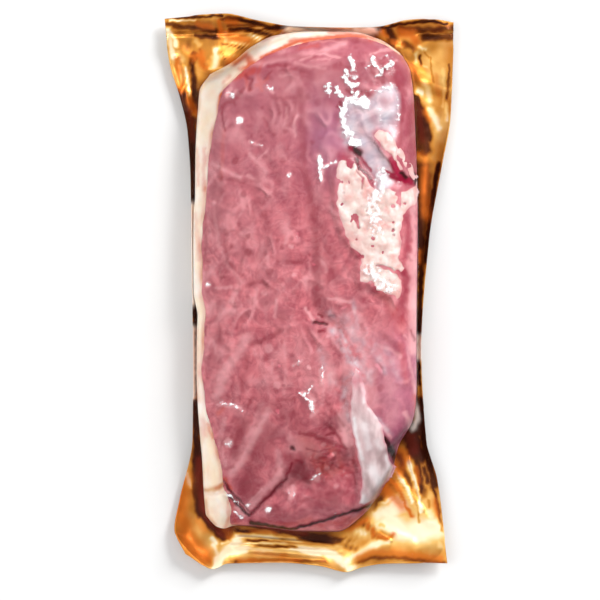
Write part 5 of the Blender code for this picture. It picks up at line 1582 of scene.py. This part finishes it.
def make_tendon():
    def inside(point):
        return to_outline(ragged(point, 0.5 * MM, 4 * MM, 111), TENDON)

    def lumps(point):
        return FIBRE_HEIGHT * layered_noise(point * np.array((1, 0.4)), 3 * MM, 113)

    mesh = low_pad("silver_tendon", (15, -93), (39, -29), inside, 2.5 * MM, lumps)
    point = vertex_places(mesh)[:, :2]
    near_edge = 0.8 * smooth_step(1 - inside(point) / (1.3 * MM))
    blend = np.maximum(near_edge, rise_from(point[:, 1], -52, 22))
    paint(mesh, "flesh", blend * (0.85 + 0.5 * noise(point, 3 * MM, 114)))
    # Painted shade and painted highlights along the tendon
    paint(mesh, "shade", streaks(point, TENDON_SHADES))
    paint(mesh, "white", streaks(point, TENDON_HIGHLIGHTS))
    close_underneath(mesh, TENDON_UNDERSIDE)
    add_piece("silver_tendon", mesh, silver_tendon(), "tendon")


make_tendon()


# The clear film is drawn tight over the meat by the vacuum, bridges down to the foil round it and is
# welded to it in the margins. It is covered in small wrinkles, and white highlights are painted on it where
# they glare, most at the upper right.

FILM_BRIDGE = 1.2 * MM
FILM_ABOVE = 0.35 * MM
FILM_ON_FOIL = 0.15 * MM
FILM_FALL = 5 * MM
OVER_PATCH = 1.1 * MM
OVER_TENDON = 0.9 * MM
GLARE_RISE = 0.35 * MM
FOLD_RISE = 0.25 * MM
WRINKLE_RISE = 0.10 * MM

# Creases of the film, raised a little and painted with white highlights where they glare: points in
# millimetres, half width and strength of each
GLARES = (
    (((8.2, 89.4), (8.2, 86)), 1.2, 1),
    (((11.6, 87.7), (13.3, 84.3)), 1.2, 1),
    (((14.2, 80.8), (15.9, 78.3)), 0.9, 0.7),
    (((30.5, 86.4), (35.7, 88.6)), 0.8, 0.6),
    (((37.8, 84.3), (38.3, 78.3)), 0.6, 0.6),
    (((32.2, 97.2), (35.7, 98.9)), 0.8, 0.7),
    (((18.5, 83), (24.5, 80.8)), 1.5, 0.6),
    (((17.6, 101.5), (18.5, 98.9), (18.5, 95.9)), 1.1, 1),
    (((15.5, 95), (16.8, 93.3), (19.8, 92.5)), 1.1, 0.9),
    (((15, 92.5), (16.8, 89.4), (20.6, 89)), 1, 0.9),
    (((17.6, 89), (18.5, 86.4)), 0.9, 0.8),
    (((27.1, 100.6), (28.4, 97.6), (29.7, 95.5), (31.4, 95)), 0.8, 0.9),
    (((28.4, 93.3), (30.5, 94.2)), 0.6, 0.8),
    (((32.7, 96.3), (36.1, 98.5)), 0.9, 0.9),
    (((32.7, 101.9), (34.8, 100.6)), 0.6, 0.7),
    (((24.5, 96.3), (25.4, 97.2)), 0.6, 0.8),
    (((16.8, 83.0), (20.6, 82.1), (24.5, 80.4)), 1.9, 1),
    (((19.8, 85.6), (22.8, 84.3), (25.4, 81.3)), 1, 1),
    (((15, 81.7), (15.5, 78.3)), 0.9, 1),
    (((14.2, 79), (14.8, 72.7), (17.6, 66.5)), 1.7, 0.95),
    (((17.6, 65.4), (20.6, 64.1)), 1.5, 1),
    (((24.1, 86), (29.7, 86.9), (34, 89.4), (37.4, 87.7)), 0.6, 0.55),
    (((29.7, 78.3), (30.5, 74)), 0.9, 0.5),
    (((37.8, 84.3), (38.3, 78.3), (37.4, 71.4)), 0.5, 0.45),
    (((4.3, 58.5), (5.2, 54.2), (4.7, 48.2)), 0.9, 0.9),
    (((6.9, 54.2), (11.6, 56.8)), 0.7, 0.8),
    (((31.4, 52), (30.5, 45.6), (27.5, 39.6)), 2.4, 0.7),
    (((26.7, 39.1), (28.8, 26.7)), 3.2, 0.6),
    (((25.4, 11.2), (29.7, 5.6), (34.8, 2.6)), 3.0, 0.65),
    (((-3.9, -42.1), (0, -45.6), (1.7, -47.7)), 0.9, 0.9),
    (((-0.4, -42.1), (1.3, -39.1)), 0.6, 0.7),
    (((-6.5, -30.5), (-3.9, -28.4)), 0.5, 0.6),
    (((-0.4, -31.4), (1.7, -31.8)), 0.6, 0.6),
    (((5.6, -30.5), (6, -37.8)), 0.5, 0.7),
    (((-38.3, -46.4), (-32.7, -46.9), (-30.5, -49)), 0.6, 0.8),
    (((-24.1, 64.9), (-20.2, 63.2)), 0.5, 0.6),
    (((-18.1, 88.6), (-15.9, 86.9)), 0.5, 0.7),
    (((-34.8, 85.6), (-32.7, 84.7)), 0.8, 0.5),
    (((-31, -47.7), (-28.8, -49.9)), 0.5, 0.8),
    (((0.4, -46.4), (1.3, -49.9)), 1, 0.7),
    (((1.3, -79.1), (3.9, -77)), 1.1, 0.45),
    (((-9, -84.3), (-6.9, -85.6)), 1.1, 0.45),
    (((-34.8, -85.6), (-30.5, -89.4)), 0.6, 0.7),
    (((-31.8, -92.9), (-28.4, -95.9)), 0.8, 0.7),
    (((10.8, -94.2), (11.6, -94.6)), 0.6, 0.8),
)
# Small spots of painted white highlight on the film: centre and radius in millimetres and strength of each
SHINE_SPOTS = (
    ((-29.7, 74.0), 1.8, 0.8), ((-8.6, 50.7), 1.1, 0.6), ((-43.0, 3.9), 1.1, 0.7),
    ((-34.4, -63.6), 1.9, 0.45), ((-26.2, -90.3), 1.1, 0.9), ((-17.6, -92.0), 1.5, 0.7),
)


def pad_swell(point):
    """How far the film stands up over the fat patch and the tendon."""
    return (OVER_PATCH * smooth_step((to_patch(point) + 3.5 * MM) / (5 * MM))
            + OVER_TENDON * smooth_step((to_outline(point, TENDON) + 2.5 * MM) / (4 * MM)))


def film_wrinkles(point):
    """Height of the film's small wrinkles."""
    raised = GLARE_RISE * streaks(point, GLARES)
    return FOLD_RISE * film_folds(point) + WRINKLE_RISE * layered_noise(point, 4 * MM, 121, 2) + raised


def film_height(across, along):
    """The film's height: over the breast and its pads, down to the foil, and along it to the edge."""
    out = outwards(*outside(across, along))
    point = plan(across, along)
    top = breast_height(across, along, FILM_BRIDGE) + FILM_ABOVE + pad_swell(point)
    foil = foil_height(across, along) + FILM_ON_FOIL
    fallen = np.maximum(out, out * margin_width(across, along) / FILM_FALL)
    level = foil + (top - foil) * (1 - np.clip(fallen, 0, 1)) ** 2
    return level + film_wrinkles(point) * (0.35 + 0.65 * (1 - out))


def clear_film():
    nodes = Nodes("clear_film")
    nodes.tree.nodes.remove(nodes.shader)
    gloss = nodes.add("ShaderNodeBsdfGlossy")
    gloss.inputs["Roughness"].default_value = 0.18
    clear = nodes.add("ShaderNodeBsdfTransparent")
    mirror = nodes.add("ShaderNodeFresnel")
    mirror.inputs["IOR"].default_value = 1.27
    crinkle = nodes.add("ShaderNodeBump")
    crinkle.inputs["Strength"].default_value = 0.15
    crinkle.inputs["Distance"].default_value = 0.2 * MM
    nodes.link(nodes.noise(420, detail=3, distortion=0.5), crinkle.inputs["Height"])
    nodes.link(crinkle.outputs["Normal"], gloss.inputs["Normal"])
    nodes.link(crinkle.outputs["Normal"], mirror.inputs["Normal"])
    both = nodes.add("ShaderNodeMixShader")
    nodes.link(nodes.times(mirror.outputs["Fac"], nodes.painted("loose")), both.inputs["Fac"])
    nodes.link(clear.outputs["BSDF"], both.inputs[1])
    nodes.link(gloss.outputs["BSDF"], both.inputs[2])
    # A white diffuse layer paints highlights on the film where it glares
    white = nodes.add("ShaderNodeBsdfDiffuse")
    white.inputs["Color"].default_value = (0.93, 0.93, 0.94, 1)
    glaring = nodes.add("ShaderNodeMixShader")
    crinkled = nodes.ramp(nodes.noise(620, detail=2), 0.35, 0.65, -0.26, 0.26)
    glare = nodes.ramp(nodes.plus(nodes.painted("glare"), crinkled), 0.30, 0.80, 0.0, 0.92)
    nodes.link(glare, glaring.inputs["Fac"])
    nodes.link(both.outputs["Shader"], glaring.inputs[1])
    nodes.link(white.outputs["BSDF"], glaring.inputs[2])
    nodes.link(glaring.outputs["Shader"], nodes.tree.nodes["Material Output"].inputs["Surface"])
    return nodes.material


def make_film():
    columns = spaced((-2, -1, 30), (-1, 1, 170), (1, 2, 30))
    rows = spaced((-2, -1, 30), (-1, 1, 340), (1, 2, 30))
    mesh, across, along = grid("clear_film_front", columns, rows)
    point = plan(across, along)
    # Painted highlights along the glaring creases and in small spots
    shine = streaks(ragged(point, 0.9 * MM, 1.8 * MM, 122), GLARES)
    shine *= 0.95 + 0.45 * noise(point, 2.2 * MM, 124)
    shine = np.maximum(shine, spots(point, SHINE_SPOTS))
    paint(mesh, "glare", np.clip(shine, 0, 1.2))
    rim = np.maximum(np.abs(across), np.abs(along))
    paint(mesh, "loose", 1 - 0.85 * smooth_step((rim - 0.96) / 0.06))
    move_vertices(mesh, point, film_height(across, along))
    add_piece("clear_film_front", mesh, clear_film(), "clear_film")


make_film()


# The pack lies on a plain white table under soft studio lamps, the main one to the upper right, and is seen
# from straight above through a long lens.

def make_table():
    bpy.ops.mesh.primitive_plane_add(size=4, location=(0, 0, -0.2 * MM))
    table = bpy.context.object
    table.name = "white_table"
    nodes = Nodes("white_table")
    white = nodes.mix(nodes.noise(30), (0.71, 0.71, 0.71), (0.73, 0.73, 0.73))
    nodes.link(white, nodes.shader.inputs["Base Color"])
    nodes.set(Roughness=0.8)
    table.data.materials.append(nodes.material)


def softbox(name, place, width, length, radiance):
    """A rectangular lamp at a place in metres, turned towards the pack."""
    lamp = bpy.data.lights.new(name, "AREA")
    lamp.shape = "RECTANGLE"
    lamp.size = width
    lamp.size_y = length
    lamp.energy = radiance * width * length * np.pi
    holder = bpy.data.objects.new(name, lamp)
    holder.location = place
    holder.rotation_euler = (-Vector(place)).to_track_quat("-Z", "Y").to_euler()
    bpy.context.scene.collection.objects.link(holder)


def light_and_see():
    softbox("main_lamp", (0.66, 0.68, 1.00), 0.40, 0.40, 24)
    softbox("low_lamp", (1.05, 0.95, 0.75), 0.50, 0.50, 14)
    softbox("overhead", (0.10, 0.05, 3.2), 3.2, 3.2, 0.85)
    softbox("left_fill", (-1.30, -0.05, 0.95), 1.30, 2.60, 1.75)
    softbox("low_fill", (-0.20, -1.40, 0.85), 2.60, 1.00, 1.4)
    softbox("top_fill", (-0.35, 1.20, 0.60), 1.80, 0.70, 0.85)
    world = bpy.data.worlds.new("studio")
    bpy.context.scene.world = world
    world.use_nodes = True
    background = world.node_tree.nodes["Background"]
    background.inputs["Color"].default_value = (1, 1, 1, 1)
    background.inputs["Strength"].default_value = 0.17
    bpy.context.scene.view_settings.view_transform = "Standard"
    camera = bpy.data.objects.new("camera", bpy.data.cameras.new("camera"))
    bpy.context.scene.collection.objects.link(camera)
    view_height, view_width = 2.60, 0.258
    camera.location = (-3.9 * MM, -2.6 * MM, view_height)
    camera.data.lens = camera.data.sensor_width * view_height / view_width
    camera.data.clip_end = 10
    bpy.context.scene.camera = camera


make_table()
light_and_see()
